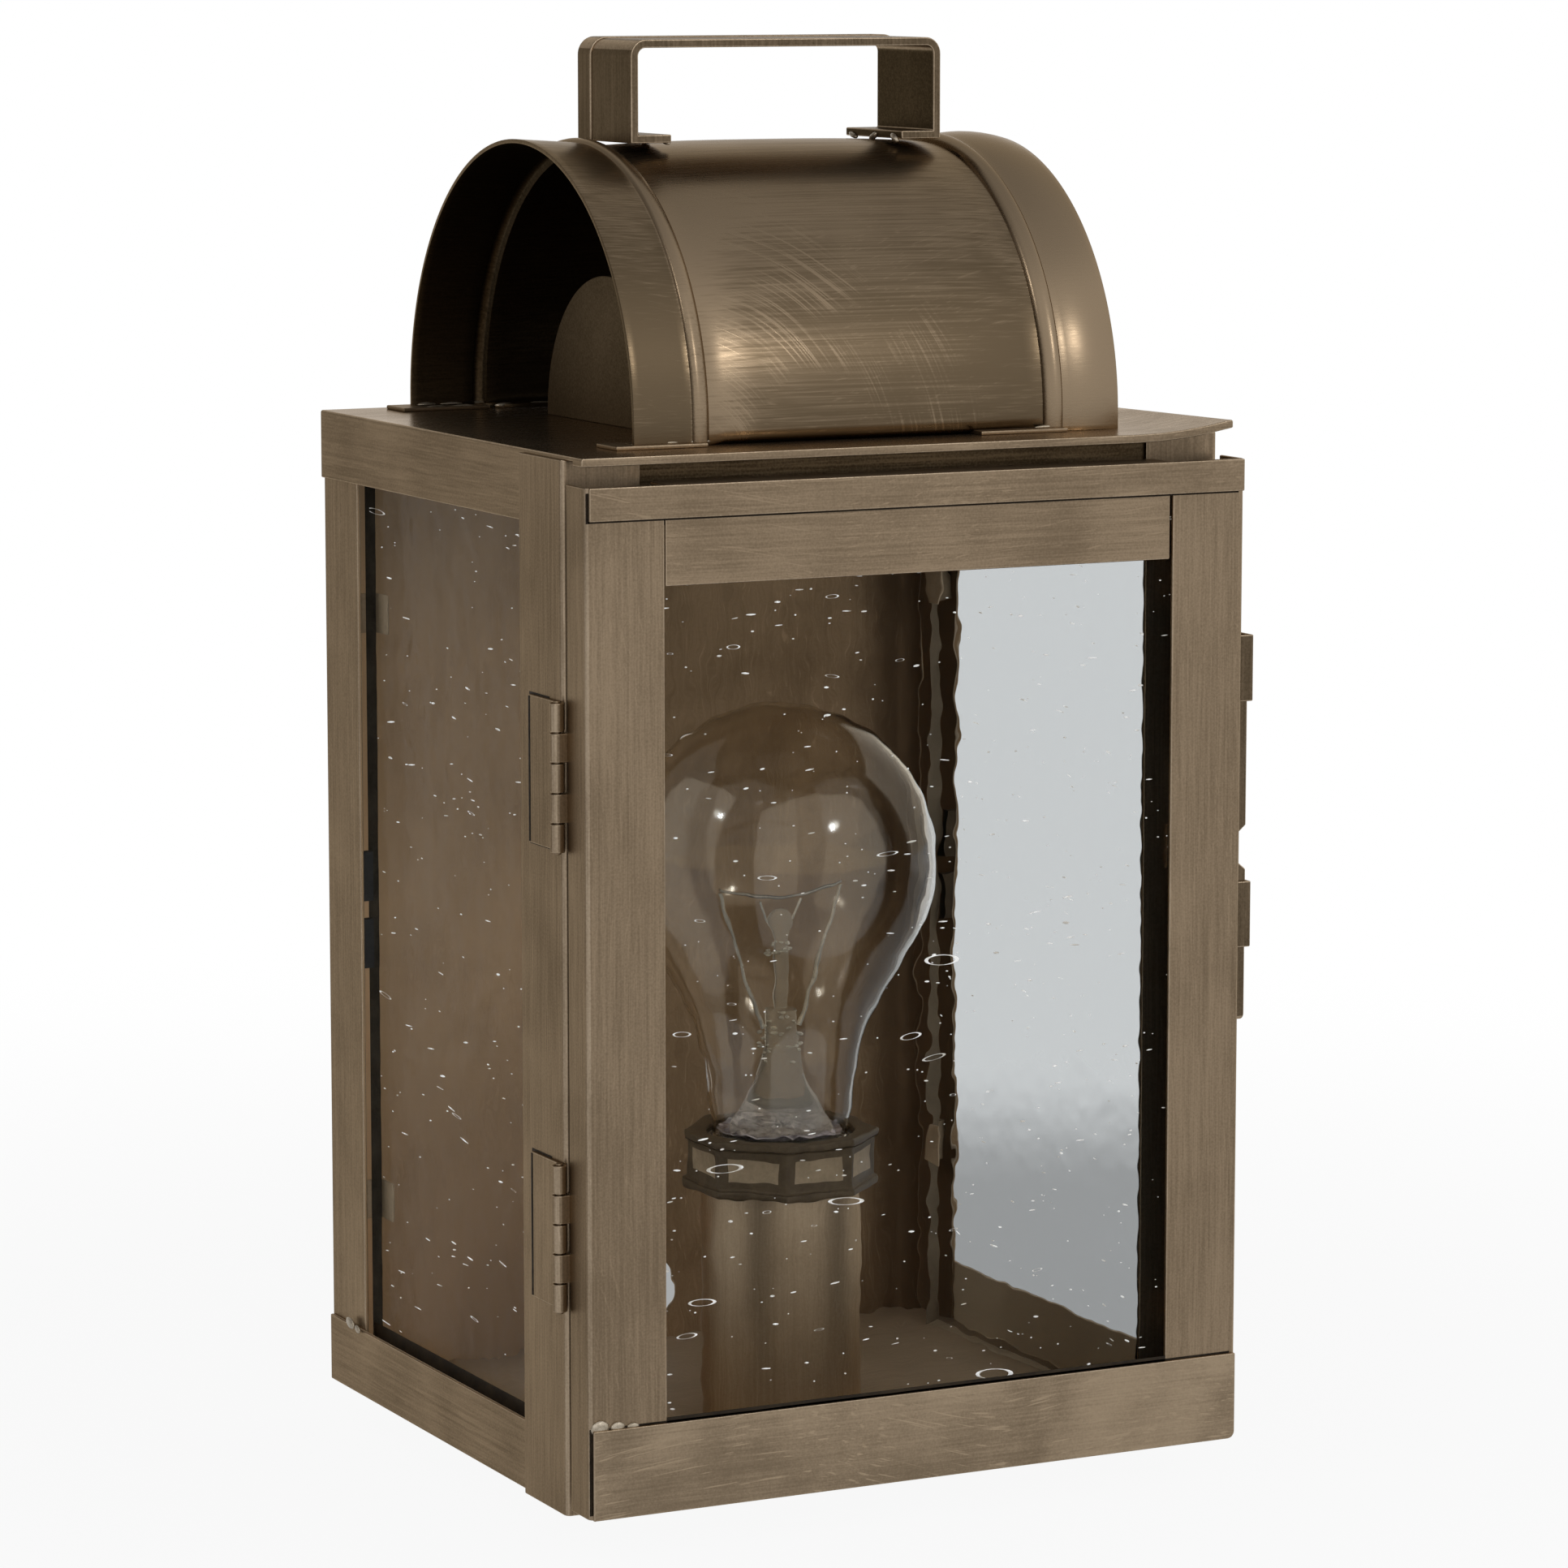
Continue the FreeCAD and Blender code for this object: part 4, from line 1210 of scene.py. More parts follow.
@dataclass
class RoofFittings:
    """Solder plates, vent baffle and carrying handle."""

    work: SheetWork
    under: float = 0.9
    inside: float = 0.95

    def build(self) -> None:
        """Makes the three pieces."""
        feet = self.work.dress("barrel_feet", Body.LANTERN, PAN_FOLD)
        Bench.paint(feet, Finish.CLIP)
        baffle = self.work.dress("vent_baffle", Body.LANTERN, PAN_FOLD)
        Bench.paint(baffle, Finish.BAFFLE)
        strap = self.work.dress("handle_strap", Body.LANTERN, STRAP_FOLD)
        # Painted light: the strap's underside gets the lighter roof-plate finish, so that the barrel below
        # mirrors it lighter.
        for face in strap.data.polygons:
            if face.normal.z < -self.under:
                face.material_index = STRAP_FOLD.index(Finish.PLATE)
        # The strap's inner faces get painted shade.
        self.work.line(strap, STRAP_FOLD.index(Finish.INSIDE), self.inside)


@dataclass
class FrontDoor:
    """Door frame of stiles and rails, with its strike."""

    work: SheetWork
    sunk: float = 0.00045
    near: float = 0.0001

    def sink(self, piece: bpy.types.Object) -> None:
        """Sets the inner rail's face a little behind the stiles.

        Args:
            piece: The inner rail.
        """
        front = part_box("door_inner_rail")[0][1]
        with Bench.editing(piece):
            for place in Bench.corners(piece):
                if place.y < front + self.near:
                    place.y += self.sunk

    def build(self) -> None:
        """Makes the frame's pieces."""
        for node in ("door_left_stile", "door_right_stile"):
            self.work.dress(node, Body.DOOR, UPRIGHT_FOLD)
        self.work.dress("door_top_strip", Body.DOOR, PAN_FOLD)
        self.work.dress("door_inner_rail", Body.DOOR, PAN_FOLD, shape=self.sink)
        self.work.dress("door_bottom_rail", Body.DOOR, RAIL_FOLD)
        self.work.dress("door_strike", Body.DOOR, UPRIGHT_FOLD)


@dataclass
class Hinges:
    """Two butt hinges: post leaf, door leaf and pin."""

    work: SheetWork

    def build(self) -> None:
        """Makes the leaves and pins."""
        for level in ("upper", "lower"):
            self.work.dress(f"{level}_hinge_post_leaf", Body.LANTERN, UPRIGHT_FOLD, "hinge_brass")
            self.work.dress(f"{level}_hinge_door_leaf", Body.DOOR, UPRIGHT_FOLD, "hinge_brass")
            self.work.dress(f"{level}_hinge_pin", Body.LANTERN, UPRIGHT_FOLD, "hinge_brass", worn=False)


@dataclass
class SlideLatch:
    """Latch bar and its two keepers."""

    work: SheetWork

    def build(self) -> None:
        """Makes the bar and the keepers."""
        self.work.dress("latch_bar", Body.LATCH, LATCH_FOLD)
        for level in ("upper", "lower"):
            self.work.dress(f"{level}_latch_keeper", Body.DOOR, LATCH_FOLD)


# Each kind of speck: the chance up to which it is drawn, the range of its size and that of its length.
SPECK_KINDS = (
    (0.55, (0.42, 0.8), (0.55, 0.8)),
    (0.88, (0.6, 1.15), (0.8, 1.5)),
    (1.0, (0.6, 0.95), (1.9, 3.0)),
)


@dataclass(frozen=True)
class Sowing:
    """What is caught in one pane: how much of it, and where the large bubbles lie."""

    node: str
    body: Body
    turn: float
    specks: int
    small_rings: int
    seed: int
    drawn: float
    bubbles: tuple[tuple[float, float, float], ...] = ()
    lit: bool = False


@dataclass
class Panes:
    """The three panes with the seeds that are caught in them, their pads and clips."""

    work: SheetWork
    speck: float = 0.00022
    ring: float = 0.0010
    wire: float = 0.00015
    margin: float = 0.003
    edge: float = 0.0001
    hair: float = 0.00008
    near: float = 0.0001
    foot_turn: tuple[float, float] = (-0.95, -0.2)
    face_turn: float = 0.99
    rear_turn: float = 0.5
    ring_sizes: tuple[float, float] = (0.4, 0.9)

    def model_speck(self) -> bpy.types.Object:
        """Makes one small seed, drawn out sideways.

        Returns:
            The seed, at the origin.
        """
        Bench.clear()
        bpy.ops.mesh.primitive_ico_sphere_add(subdivisions=1, radius=self.speck)
        piece = bpy.context.object
        with Bench.editing(piece):
            bpy.ops.transform.resize(value=(2.0, 0.9, 0.9))
        return piece

    def model_ring(self) -> bpy.types.Object:
        """Makes one flattened bubble, whose rim catches the light.

        Returns:
            The bubble, at the origin, upright and facing Y.
        """
        Bench.clear()
        bpy.ops.mesh.primitive_torus_add(
            major_segments=18, minor_segments=5, major_radius=self.ring, minor_radius=self.wire
        )
        piece = bpy.context.object
        with Bench.editing(piece):
            bpy.ops.transform.rotate(
                value=math.radians(90), orient_axis="X", center_override=(0.0, 0.0, 0.0)
            )
            for place in Bench.corners(piece):
                turn = math.atan2(place.z, place.x)
                core = Vector((math.cos(turn), 0.0, math.sin(turn))) * self.ring
                thin = 0.66 + 0.26 * math.cos(2.0 * turn) + 0.14 * math.sin(turn + 0.5)
                place[:] = core + (place - core) * thin
            bpy.ops.transform.resize(value=(1.0, 0.8, 0.29))
        return piece

    def scatter(self, sowing: Sowing) -> list[tuple[bool, Vector, float, float]]:
        """Chooses where the seeds of one pane lie.

        Args:
            sowing: The pane and what it holds.

        Returns:
            For each seed, whether it is a ring, its place, its size and how far it is drawn out.
        """
        chance = random.Random(sowing.seed)
        low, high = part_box(sowing.node)
        spots = []
        for index in range(sowing.specks + sowing.small_rings):
            spot = [
                chance.uniform(a + self.margin, b - self.margin) if b - a > 2 * self.margin else (a + b) / 2
                for a, b in zip(low, high)
            ]
            kind = chance.random()
            if index >= sowing.specks:
                spots.append((True, Vector(spot), chance.uniform(*self.ring_sizes), 1.0))
            else:
                sizes, lengths = next(kinds[1:] for kinds in SPECK_KINDS if kind < kinds[0])
                spots.append((False, Vector(spot), chance.uniform(*sizes), chance.uniform(*lengths)))
        middle = (Vector(low) + Vector(high)) / 2
        for along, height, size in sowing.bubbles:
            faces_front = sowing.turn == 0
            spot = (along, middle.y, height) if faces_front else (middle.x, along, height)
            spots.append((True, Vector(spot), size, 1.0))
        return spots

    def sow(self, sowing: Sowing) -> None:
        """Puts the seeds into one pane, joined into one piece.

        Args:
            sowing: The pane and what it holds.
        """
        chance = random.Random(sowing.seed + 100)
        models = {False: self.model_speck(), True: self.model_ring()}
        upright = Matrix.Rotation(math.radians(sowing.turn), 4, "Z")
        made = []
        for is_ring, spot, size, drawn in self.scatter(sowing):
            tilt = Matrix.Rotation(math.radians(chance.uniform(-9, 9)), 4, "Y")
            flat = chance.uniform(0.6, 1.25)
            shape = Matrix.Diagonal((size * drawn * sowing.drawn, min(size, 1.5), size * flat, 1.0))
            made.append(Bench.clone(models[is_ring], Matrix.Translation(spot) @ upright @ tilt @ shape))
        for model in models.values():
            bpy.data.objects.remove(model)
        piece = Bench.join(f"{sowing.node}_seeds", made)
        Bench.smooth(piece, 70.0)
        Bench.paint(piece, Finish.BRIGHT_SEED if sowing.lit else Finish.SEED)
        Bench.place(piece, sowing.body, slot="pane_glass")

    def free_from(self, axis: int, level: float) -> Callable[[bpy.types.Object], None]:
        """Draws a clip's fingers a hair off the glass that they hold.

        Args:
            axis: The axis that the pane faces.
            level: The distance of the pane's inner face from the lantern's middle.

        Returns:
            The change of form.
        """

        def draw_back(piece: bpy.types.Object) -> None:
            """Moves the corners that lie on the glass.

            Args:
                piece: The clip.
            """
            with Bench.editing(piece):
                for place in Bench.corners(piece):
                    if abs(abs(place[axis]) - level) < 2 * SAME_LEVEL:
                        place[axis] -= math.copysign(self.hair, place[axis])

        return draw_back

    def glaze(self, node: str, body: Body, axis: int, glass: Finish, rim: Finish, rear: Finish) -> None:
        """Makes one pane with ground, dull edges.

        Args:
            node: The pane.
            body: The body that it moves with.
            axis: The axis that the pane faces.
            glass: The finish of its faces.
            rim: The finish of its edges.
            rear: The finish of a side pane's rear edge.
        """
        pane = Bench.copy_of(node)
        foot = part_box(node)[0][2]
        with Bench.editing(pane):
            Bench.pick(Element.VERTS, lambda vert: vert.co.z < foot + self.near)
            bpy.ops.transform.translate(value=(0.0, 0.0, self.hair))
        Bench.ease_edges(pane, self.edge)
        Bench.paint(pane, glass, rim, rear)
        for face in pane.data.polygons:
            is_foot = self.foot_turn[0] < face.normal.z < self.foot_turn[1]
            is_rim = abs(face.normal[axis]) < self.face_turn and not is_foot
            is_rear = axis == 0 and face.normal.y > self.rear_turn
            face.material_index = 2 if is_rear else int(is_rim)
        Bench.place(pane, body, node, "pane_glass")

    def build(self) -> None:
        """Glazes the lantern and sows the seeds."""
        self.glaze("door_glass", Body.DOOR, 1, Finish.DOOR_PANE, Finish.PANE_RIM, Finish.PANE_RIM)
        self.glaze("left_glass", Body.LANTERN, 0, Finish.LEFT_PANE, Finish.PANE_EDGE, Finish.PANE_EDGE)
        self.glaze("right_glass", Body.LANTERN, 0, Finish.RIGHT_PANE, Finish.PANE_RIM, Finish.PANE_REAR)
        door = (
            (-0.0456, -0.0599, 2.3), (-0.0488, -0.0660, 1.7), (0.0171, -0.0806, 3.2),
            (0.0052, 0.0015, 2.9), (-0.0014, -0.0127, 1.8), (0.0036, -0.0172, 2.0),
            (-0.0152, -0.0434, 3.0), (-0.0408, -0.0347, 3.0), (-0.0389, 0.0639, 1.1),
            (-0.0183, 0.0573, 1.2), (-0.0065, 0.0228, 1.8), (-0.0319, 0.0200, 1.6),
            (-0.0497, -0.0083, 1.5), (-0.0459, 0.0129, 0.9), (-0.0183, 0.0723, 1.1),
        )
        left = ((-0.0175, 0.0807, 2.0), (-0.0556, -0.0354, 1.0), (-0.0200, -0.0170, 1.3))
        self.sow(Sowing("door_glass", Body.DOOR, 0.0, 560, 20, 11, 1.15, door))
        self.sow(Sowing("left_glass", Body.LANTERN, 90.0, 260, 6, 12, 2.1, left))
        self.sow(Sowing("right_glass", Body.LANTERN, 90.0, 190, 3, 13, 1.8, lit=True))
        ease = self.free_from(1, -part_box("door_glass")[1][1])
        clips = self.work.dress("door_glass_clips", Body.DOOR, PAN_FOLD, "clip_brass", ease)
        Bench.paint(clips, Finish.BRONZED)
        self.work.keep({"left_glass_pads": Finish.RUBBER, "right_glass_pads": Finish.BROWN_RUBBER})
        for side in ("left", "right"):
            inner = min(abs(corner[0]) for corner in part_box(f"{side}_glass"))
            ease = self.free_from(0, inner)
            clips = self.work.dress(f"{side}_glass_clips", Body.LANTERN, PAN_FOLD, "clip_brass", ease)
            Bench.paint(clips, Finish.BRONZED)


class Lumps:
    """Uneven lumps, such as run solder or beads of glass."""

    @staticmethod
    def model_lump() -> bpy.types.Object:
        """Makes one uneven lump, about 1 mm in radius.

        Returns:
            The lump, at the origin.
        """
        Bench.clear()
        bpy.ops.mesh.primitive_ico_sphere_add(subdivisions=2, radius=0.001)
        piece = bpy.context.object
        with Bench.editing(piece):
            bpy.ops.transform.vertex_random(offset=0.00012, uniform=1.0, seed=4)
            bpy.ops.mesh.vertices_smooth(factor=0.5, repeat=2)
            bpy.ops.transform.resize(value=(1.1, 1.1, 1.1))
        return piece

    @staticmethod
    def run(name: str, body: Body, lumps: list[tuple[Point, Point]], finish: Finish, slot: str) -> None:
        """Sets the lumps of one piece.

        Args:
            name: The piece's name.
            body: The body that it moves with.
            lumps: The place and the half sizes of each, the sizes in millimetres.
            finish: Its finish.
            slot: The record's material slot.
        """
        chance = random.Random(len(lumps))
        model = Lumps.model_lump()
        made = []
        for spot, sizes in lumps:
            turn = Matrix.Rotation(math.radians(chance.uniform(-20, 20)), 4, "X")
            made.append(Bench.clone(model, Matrix.Translation(spot) @ Matrix.Diagonal((*sizes, 1.0)) @ turn))
        bpy.data.objects.remove(model)
        piece = Bench.join(name, made)
        Bench.smooth(piece, 80.0)
        Bench.paint(piece, finish)
        Bench.place(piece, body, slot=slot)


@dataclass
class Seams:
    """Thin dark plates under the soldered pieces and round the hinge leaves, whose edges show as dark lines:
    painted shadow along the seams.
    """

    leaf: float = 0.0008
    proud: float = 0.00006
    sunk: float = 0.00002
    ragged: float = 0.00005
    lap: float = 0.0003
    inset: float = 0.001
    cuts: int = 23

    def plate(self, low: Point, high: Point) -> bpy.types.Object:
        """Makes one plate with a ragged outline.

        Args:
            low: Its lowest corner.
            high: Its highest corner.

        Returns:
            The plate.
        """
        Bench.clear()
        bpy.ops.mesh.primitive_cube_add(size=1.0, location=(Vector(low) + Vector(high)) / 2)
        piece = bpy.context.object
        size = Vector(high) - Vector(low)
        piece.scale = size
        Bench.settle(piece)
        axis = min(range(3), key=lambda index: size[index])
        chance = random.Random(len(bpy.data.objects))
        with Bench.editing(piece):
            bpy.ops.mesh.subdivide(number_cuts=self.cuts)
            for place in Bench.corners(piece):
                for index in range(3):
                    if index != axis:
                        place[index] += chance.uniform(-self.ragged, self.ragged)
        return piece

    def lay(self, name: str, body: Body, plates: list[tuple[Point, Point]]) -> None:
        """Lays the plates of one piece.

        Args:
            name: The piece's name.
            body: The body that it moves with.
            plates: The low and the high corner of each plate.
        """
        piece = Bench.join(name, [self.plate(low, high) for low, high in plates])
        Bench.paint(piece, Finish.CREVICE)
        Bench.place(piece, body, slot="aged_brass")

    def build(self) -> None:
        """Lays the plates on the door, the hinges' post and the left pane."""
        strip_low, strip_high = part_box("door_top_strip")
        rail_low, rail_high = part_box("door_bottom_rail")
        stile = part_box("door_left_stile")[0][1]
        front, back = stile - self.proud, stile + self.sunk
        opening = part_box("door_right_stile")[0][0]
        lap, inset = self.lap, self.inset
        lines = [
            ((rail_low[0] - 0.0005, rail_low[0] + lap), (rail_low[2] + inset, rail_high[2] + lap)),
            ((rail_low[0], rail_high[0] - inset), (rail_high[2] - lap, rail_high[2] + lap)),
            ((-opening, opening), (rail_high[2] - lap, rail_high[2] + 0.0009)),
            ((strip_low[0] - 0.0004, strip_low[0] + lap), (strip_low[2] - lap, strip_high[2] - inset)),
            ((strip_low[0], strip_high[0] - inset), (strip_low[2] - lap, strip_low[2] + lap)),
        ]
        plates = [((along[0], front, tall[0]), (along[1], back, tall[1])) for along, tall in lines]
        self.lay("door_seams", Body.DOOR, plates)
        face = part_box("front_left_post")[0][0]
        shadow_beds = []
        for level in ("upper", "lower"):
            low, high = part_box(f"{level}_hinge_post_leaf")
            near, far = low[2] - lap, high[2] + lap
            rear = high[1]
            shadow_beds.append(((face - self.proud, rear - 0.008, near), (face + self.sunk, rear + inset, far)))
            rim = face - self.leaf
            near, far = low[2] + lap, high[2] - lap
            shadow_beds.append(((rim - self.proud, rear - 0.0009, near), (rim + self.sunk, rear - lap, far)))
        self.lay("hinge_seams", Body.LANTERN, shadow_beds)
        # A dark plate along the left pane's foot, a painted shadow.
        low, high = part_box("left_glass")
        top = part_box("base_pan")[1][2]
        lower = (low[0] - self.proud, low[1] + inset, top - 2 * inset)
        upper = (low[0] + self.sunk, high[1] - inset, top + 0.0011)
        self.lay("pane_foot_painted_shadow", Body.LANTERN, [(lower, upper)])


@dataclass
class SolderJoints:
    """Solder where the sheets were joined."""

    foot_inset: float = 0.003
    strap_half: float = 0.025

    def build(self) -> None:
        """Sets the lumps on the body and on the door."""
        rail_low, rail_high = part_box("door_bottom_rail")
        inner_low, inner_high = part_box("door_inner_rail")
        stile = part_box("door_left_stile")[0][1]
        door = [
            ((rail_low[0] + 0.0016, stile, rail_high[2] + 0.0003), (2.2, 0.62, 1.9)),
            ((rail_low[0] + 0.0052, stile, rail_high[2] + 0.0001), (1.8, 0.55, 1.5)),
            ((rail_low[0] + 0.0084, stile, rail_high[2]), (1.5, 0.5, 1.0)),
            ((inner_low[0] + 0.0002, stile, inner_high[2] - 0.0008), (1.2, 0.4, 0.9)),
            ((inner_high[0] - 0.0002, stile, inner_high[2] - 0.0008), (1.2, 0.4, 0.9)),
        ]
        Lumps.run("door_solder", Body.DOOR, door, Finish.SOLDER, "clip_brass")
        feet_low, feet_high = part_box("barrel_feet")
        front, rear, top = feet_low[1], feet_high[1], feet_high[2]
        body = [
            ((-0.0697, -0.0122, -0.0858), (0.5, 2.4, 1.2)),
            ((-0.0697, -0.0160, -0.0863), (0.4, 1.5, 0.8)),
        ]
        feet = ((-0.050, 2.4), (-0.0445, 3.0), (-0.038, 2.6), (0.036, 2.6), (0.0425, 3.1), (0.0485, 2.4))
        for along, reach in feet:
            body.append(((along, front + self.foot_inset, top), (reach, 0.9, 0.45)))
            body.append(((along * 0.98, rear - self.foot_inset, top), (reach, 0.9, 0.45)))
        for along, reach in ((-0.049, 2.6), (-0.043, 3.2), (-0.034, 2.4), (-0.026, 3.0)):
            body.append(((along, rear - 0.0078, top - 0.0002), (reach, 0.7, 0.5)))
        strap_low, strap_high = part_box("handle_strap")
        for side in (-1, 1):
            for share in (0.12, 0.5, 0.86):
                depth = strap_low[1] + share * (strap_high[1] - strap_low[1])
                body.append(((side * self.strap_half, depth, strap_low[2] + 0.0002), (0.8, 1.8, 0.5)))
        Lumps.run("body_solder", Body.LANTERN, body, Finish.SOLDER, "clip_brass")


@dataclass
class LampHolder:
    """Riser tube, eight-sided collar, cup, shell, contact and the nipple that holds them."""

    work: SheetWork
    collar_edge: float = 0.0005
    rib: float = 0.0014
    panel_depth: float = 0.0003
    panel_area: float = 0.00004
    panel_corners: int = 9
    panel_tilt: float = 0.1

    def is_side(self, face: bmesh.types.BMFace) -> bool:
        """Says whether a face is one of the collar's eight sides, which look sideways."""
        is_large = face.calc_area() > self.panel_area and len(face.verts) < self.panel_corners
        return is_large and abs(face.normal.z) < self.panel_tilt

    def dress_collar(self) -> None:
        """Makes the collar, whose sides are lighter panels between dark ribs."""
        collar = Bench.copy_of("socket_collar")
        Bench.ease_edges(collar, self.collar_edge)
        with Bench.editing(collar):
            Bench.pick(Element.FACES, self.is_side)
            bpy.ops.mesh.inset(thickness=self.rib, depth=-self.panel_depth, use_individual=True)
        Bench.paint(collar, Finish.COLLAR, Finish.COLLAR_PANEL)
        for face in collar.data.polygons:
            face.material_index = int(face.select)
        Bench.place(collar, Body.LANTERN, "socket_collar", "collar_phenolic")

    def build(self) -> None:
        """Makes the holder's pieces."""
        self.work.dress("socket_tube", Body.LANTERN, RISER_FOLD, worn=False)
        self.dress_collar()
        kept = {
            "socket_body": Finish.CUP,
            "socket_shell": Finish.SHELL,
            "socket_contact": Finish.CONTACT,
            "threaded_nipple": Finish.STEEL,
            "nipple_washer": Finish.STEEL,
            "nipple_nut": Finish.STEEL,
        }
        self.work.keep(kept)


@dataclass
class ClearBulb:
    """Clear pear-shaped bulb on a screw base."""

    work: SheetWork
    axis_y: float = -0.069
    radius: float = 0.031
    centre: float = 0.0132
    shoulder: float = 30.0
    neck: float = 0.0146
    neck_top: float = -0.035
    foot: float = 0.0135
    bottom: float = -0.042
    wall: float = 0.0006
    seal_reach: float = 0.0124
    seal_hole: float = 0.0015
    seal_ripple: float = 0.0003
    seal_rise: float = 0.0009
    seal_crumple: float = 0.00045
    foil: float = 0.0002
    merge: float = 0.000005
    steps: int = 96
    seal_steps: int = 44
    round_parts: int = 40
    neck_parts: int = 12
    seal_parts: int = 9

    def outline(self) -> list[tuple[float, float]]:
        """Draws the line that is spun: round top, straight shoulder and hollow neck.

        Returns:
            Radii and heights, from the tip down.
        """
        turn = math.radians(self.shoulder)
        line = []
        for part in range(self.round_parts + 1):
            angle = math.pi / 2 - (math.pi / 2 + turn) * part / self.round_parts
            line.append((self.radius * math.cos(angle), self.centre + self.radius * math.sin(angle)))
        end_r, end_z = line[-1]
        drop = end_z - self.neck_top
        narrow = end_r - self.neck
        curve = (drop - narrow / math.tan(turn)) / math.tan(turn / 2)
        for part in range(self.neck_parts + 1):
            angle = turn * (1 - part / self.neck_parts)
            line.append((self.neck + curve * (1 - math.cos(angle)), self.neck_top + curve * math.sin(angle)))
        line.append(((self.neck + self.foot) / 2, (self.neck_top + self.bottom) / 2))
        line.append((self.foot, self.bottom))
        return line

    def blow(self) -> None:
        """Blows the glass."""
        points = [(0.0, self.axis_y - radius, height) for radius, height in self.outline()]
        piece = Bench.chain("bulb_glass_dressed", points)
        with Bench.editing(piece):
            Bench.spin(self.steps, 2 * math.pi, (0, self.axis_y, 0), (0, 0, 1), self.merge)
            bpy.ops.mesh.normals_make_consistent(inside=False)
        Bench.apply(piece, "SOLIDIFY", thickness=self.wall, offset=-1.0, use_even_offset=True)
        Bench.smooth(piece, 50.0)
        Bench.paint(piece, Finish.BULB)
        Bench.place(piece, Body.BULB, "bulb_glass", "bulb_clear")

    def seal(self) -> None:
        """Makes the crinkled seal that closes the neck."""
        line = []
        for part in range(self.seal_parts + 1):
            reach = self.seal_hole + (self.seal_reach - self.seal_hole) * part / self.seal_parts
            ripple = self.seal_ripple * math.sin(part * 2.2)
            line.append((0.0, self.axis_y - reach, self.bottom + self.seal_rise + ripple))
        piece = Bench.chain("bulb_seal", line)
        with Bench.editing(piece):
            Bench.spin(self.seal_steps, 2 * math.pi, (0, self.axis_y, 0), (0, 0, 1), self.merge)
            bpy.ops.transform.vertex_random(offset=self.seal_crumple, uniform=1.0, seed=9)
            bpy.ops.mesh.normals_make_consistent(inside=False)
        Bench.apply(piece, "SOLIDIFY", thickness=self.foil, offset=-1.0)
        Bench.smooth(piece, 12.0)
        Bench.paint(piece, Finish.SEAL)
        Bench.place(piece, Body.BULB, slot="cap_aluminium")

    def crinkle(self) -> None:
        """Sets the beads where the stem's glass was pinched, and round the hub of the supports."""
        chance = random.Random(21)
        beads = []
        for low, high, reach, count in ((-0.0275, -0.0175, 0.0039, 34), (-0.0062, -0.0030, 0.0024, 15)):
            for _ in range(count):
                turn = chance.uniform(0.0, 2.0 * math.pi)
                size = chance.uniform(0.20, 0.46)
                away = reach * chance.uniform(0.8, 1.15)
                height = chance.uniform(low, high)
                spot = (away * math.cos(turn), self.axis_y + away * math.sin(turn), height)
                beads.append((spot, (size * 1.7, size * 1.7, size)))
        Lumps.run("bulb_stem_beads", Body.BULB, beads, Finish.BEAD, "bulb_clear")

    def dress(self) -> None:
        """Gives the bulb's other pieces their finishes."""
        kept = {
            "bulb_base": Finish.SHELL,
            "bulb_insulator": Finish.INSULATOR,
            "bulb_contact": Finish.SOLDER,
            "bulb_stem": Finish.STEM,
            "bulb_lead_wires": Finish.LEAD,
            "bulb_filament": Finish.TUNGSTEN,
        }
        self.work.keep(kept)

    def build(self) -> None:
        """Makes the glass, what closes its neck, and the rest."""
        self.blow()
        self.seal()
        self.crinkle()
        self.dress()


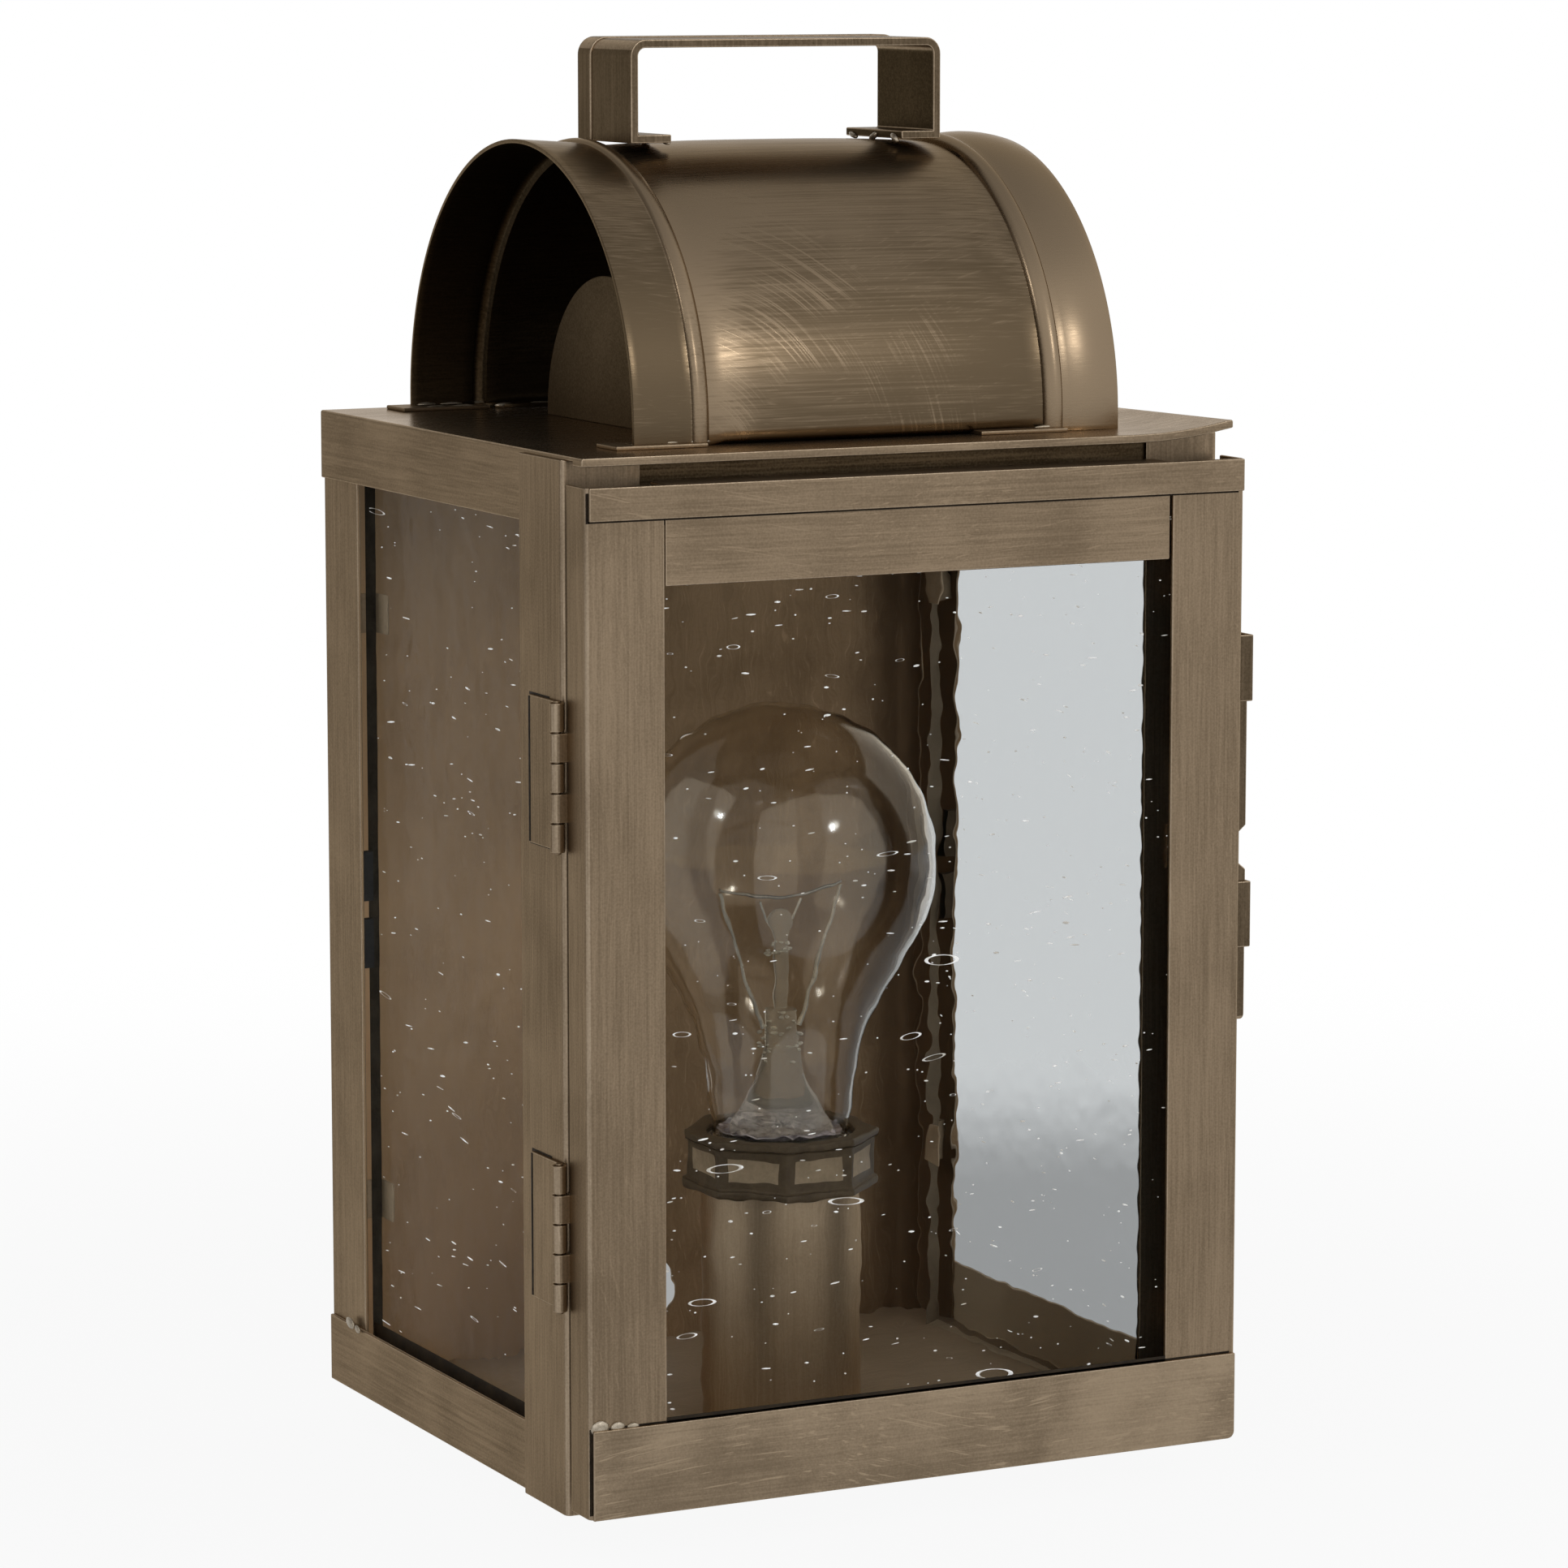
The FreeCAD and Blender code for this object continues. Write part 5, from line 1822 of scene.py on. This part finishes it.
@dataclass
class Studio:
    """Camera, soft lamps, white room and pale floor."""

    target: Point = (0.000367, -0.070, 0.02831)
    distance: float = 1.16437
    azimuth: float = -26.63
    elevation: float = 8.207
    lens: float = 135.006
    floor_level: float = -0.1068
    dark_side: Point = (-0.90, 0.42, 0.10)
    lamp_distance: float = 1.6
    lamp_size: float = 0.10
    sensor: float = 36.0
    floor_size: float = 6.0

    @staticmethod
    def direction(azimuth: float, elevation: float) -> Vector:
        """Gives the way from the object towards a place round it.

        Args:
            azimuth: The angle from the front, to the right, in degrees.
            elevation: The angle above the horizon, in degrees.

        Returns:
            A vector of length 1.
        """
        turn = math.radians(azimuth)
        rise = math.radians(elevation)
        flat = math.cos(rise)
        return Vector((math.sin(turn) * flat, -math.cos(turn) * flat, math.sin(rise)))

    def hang(
        self, data: bpy.types.Camera | bpy.types.Light, azimuth: float, elevation: float, distance: float
    ) -> bpy.types.Object:
        """Puts a camera or a lamp at a place round the lantern, looking at it.

        Args:
            data: The camera or lamp.
            azimuth: Its angle from the front, to the right, in degrees.
            elevation: Its angle above the horizon, in degrees.
            distance: Its distance.

        Returns:
            Its object.
        """
        thing = bpy.data.objects.new(data.name, data)
        bpy.context.scene.collection.objects.link(thing)
        way = self.direction(azimuth, elevation)
        thing.location = Vector(self.target) + way * distance
        thing.rotation_euler = (-way).to_track_quat("-Z", "Y").to_euler()
        return thing

    def set_camera(self) -> None:
        """Sets the camera at the photo's angle."""
        data = bpy.data.cameras.new("photo_camera")
        data.lens = self.lens
        data.sensor_width = self.sensor
        bpy.context.scene.camera = self.hang(data, self.azimuth, self.elevation, self.distance)

    def hang_lamp(self, name: str, azimuth: float, elevation: float, power: float) -> None:
        """Hangs one soft square lamp that looks at the lantern.

        Args:
            name: The lamp's name.
            azimuth: Its angle from the front, to the right, in degrees.
            elevation: Its angle above the horizon, in degrees.
            power: Its power in watts.
        """
        data = bpy.data.lights.new(name, "AREA")
        data.shape = "SQUARE"
        data.size = self.lamp_size
        data.energy = power
        self.hang(data, azimuth, elevation, self.lamp_distance)

    def light_room(self) -> None:
        """Makes a white room whose ceiling is dark towards the rear."""
        world = bpy.data.worlds.new("white_room")
        world.use_nodes = True
        bpy.context.scene.world = world
        sheet = ShaderSheet(world.node_tree)
        way = sheet.node("ShaderNodeTexCoord", output="Generated")
        height = sheet.along(way, "Z") + sheet.along(way, "Y") * 0.35
        flag = sheet.vector("DOT_PRODUCT", way, self.dark_side, output="Value")
        dim = sheet.blend(flag.between(0.25, 0.95), (1.0, 1.0, 1.0), (0.34, 0.33, 0.32))
        greys = ((0.0, 1.0), (0.45, 1.0), (0.68, 0.70), (0.92, 0.56), (1.0, 0.50))
        stops = [(position, (grey,) * 3) for position, grey in greys]
        room = sheet.node("ShaderNodeValToRGB", {"stops": stops}, {0: height})
        white = sheet.blend(sheet.ray("Glossy Depth").between(0.0, 1.0), (1.0, 1.0, 1.0), (0.93, 0.82, 0.68))
        seen = sheet.ray("Is Camera Ray").larger(sheet.ray("Is Transmission Ray"))
        colour = sheet.blend(seen, sheet.vector("MULTIPLY", room, dim), white)
        sheet.finish(sheet.node("ShaderNodeBackground", values={"Color": colour}), "ShaderNodeOutputWorld")

    def lay_floor(self) -> None:
        """Lays the pale floor, which keeps a soft shadow."""
        Bench.clear()
        bpy.ops.mesh.primitive_plane_add(size=self.floor_size, location=(0.0, 0.0, self.floor_level))
        floor = bpy.context.object
        floor.name = "pale_floor"
        sheet, material = ShaderSheet.of_finish("floor_pale")
        place = sheet.place()
        cloud = sheet.noise(place, 3.0, 2.0)
        colour = sheet.blend(cloud, (0.25, 0.25, 0.25), (0.29, 0.29, 0.29))
        matt = sheet.principled({"Base Color": colour, "Roughness": 0.8, "Specular IOR Level": 0.2})
        white = sheet.node("ShaderNodeEmission", values={"Color": (1, 1, 1, 1), "Strength": 1.0})
        seen = sheet.ray("Is Camera Ray")
        shone = sheet.ray("Is Glossy Ray")
        through = sheet.ray("Is Transmission Ray")
        fade = sheet.vector("LENGTH", place, output="Value").between(0.10, 0.55) * 0.07 + 0.93
        turned = sheet.mapped(place, (1.0, 1.0, 1.0), (0.0, 0.0, -self.azimuth))
        behind = sheet.along(turned, "Y").between(0.185, 0.345) * 0.58 + 0.42
        share = seen * fade + (shone - through) * 0.6 + through * behind
        sheet.finish(sheet.node("ShaderNodeMixShader", values={0: share, 1: matt, 2: white}))
        floor.data.materials.append(material)
        floor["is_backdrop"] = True

    def build(self) -> None:
        """Sets up the whole studio."""
        bpy.context.scene.view_settings.view_transform = "Standard"
        self.set_camera()
        self.light_room()
        self.lay_floor()
        self.hang_lamp("key_lamp", 16.7, 27.9, 1.65)
        self.hang_lamp("left_lamp", -80.0, 34.0, 1.25)


def write_sizes() -> None:
    """Gathers the CAD box and the dressed model's box, and writes nothing."""
    boxes = {"cad": CAD_BOX, "visual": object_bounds()}
    plain = {name: [[float(value) for value in corner] for corner in box] for name, box in boxes.items()}


def main() -> None:
    """Builds every sub-assembly in order."""
    logging.basicConfig(level=logging.INFO, format="%(message)s")
    work = SheetWork()
    assemblies = (
        Studio(), BodyShell(work), BarrelRoof(), RoofFittings(work), FrontDoor(work), Hinges(work),
        SlideLatch(work), Panes(work), LampHolder(work), ClearBulb(work), Seams(), SolderJoints(),
    )
    for assembly in assemblies:
        assembly.build()
    write_sizes()


if __name__ == "__main__":
    main()
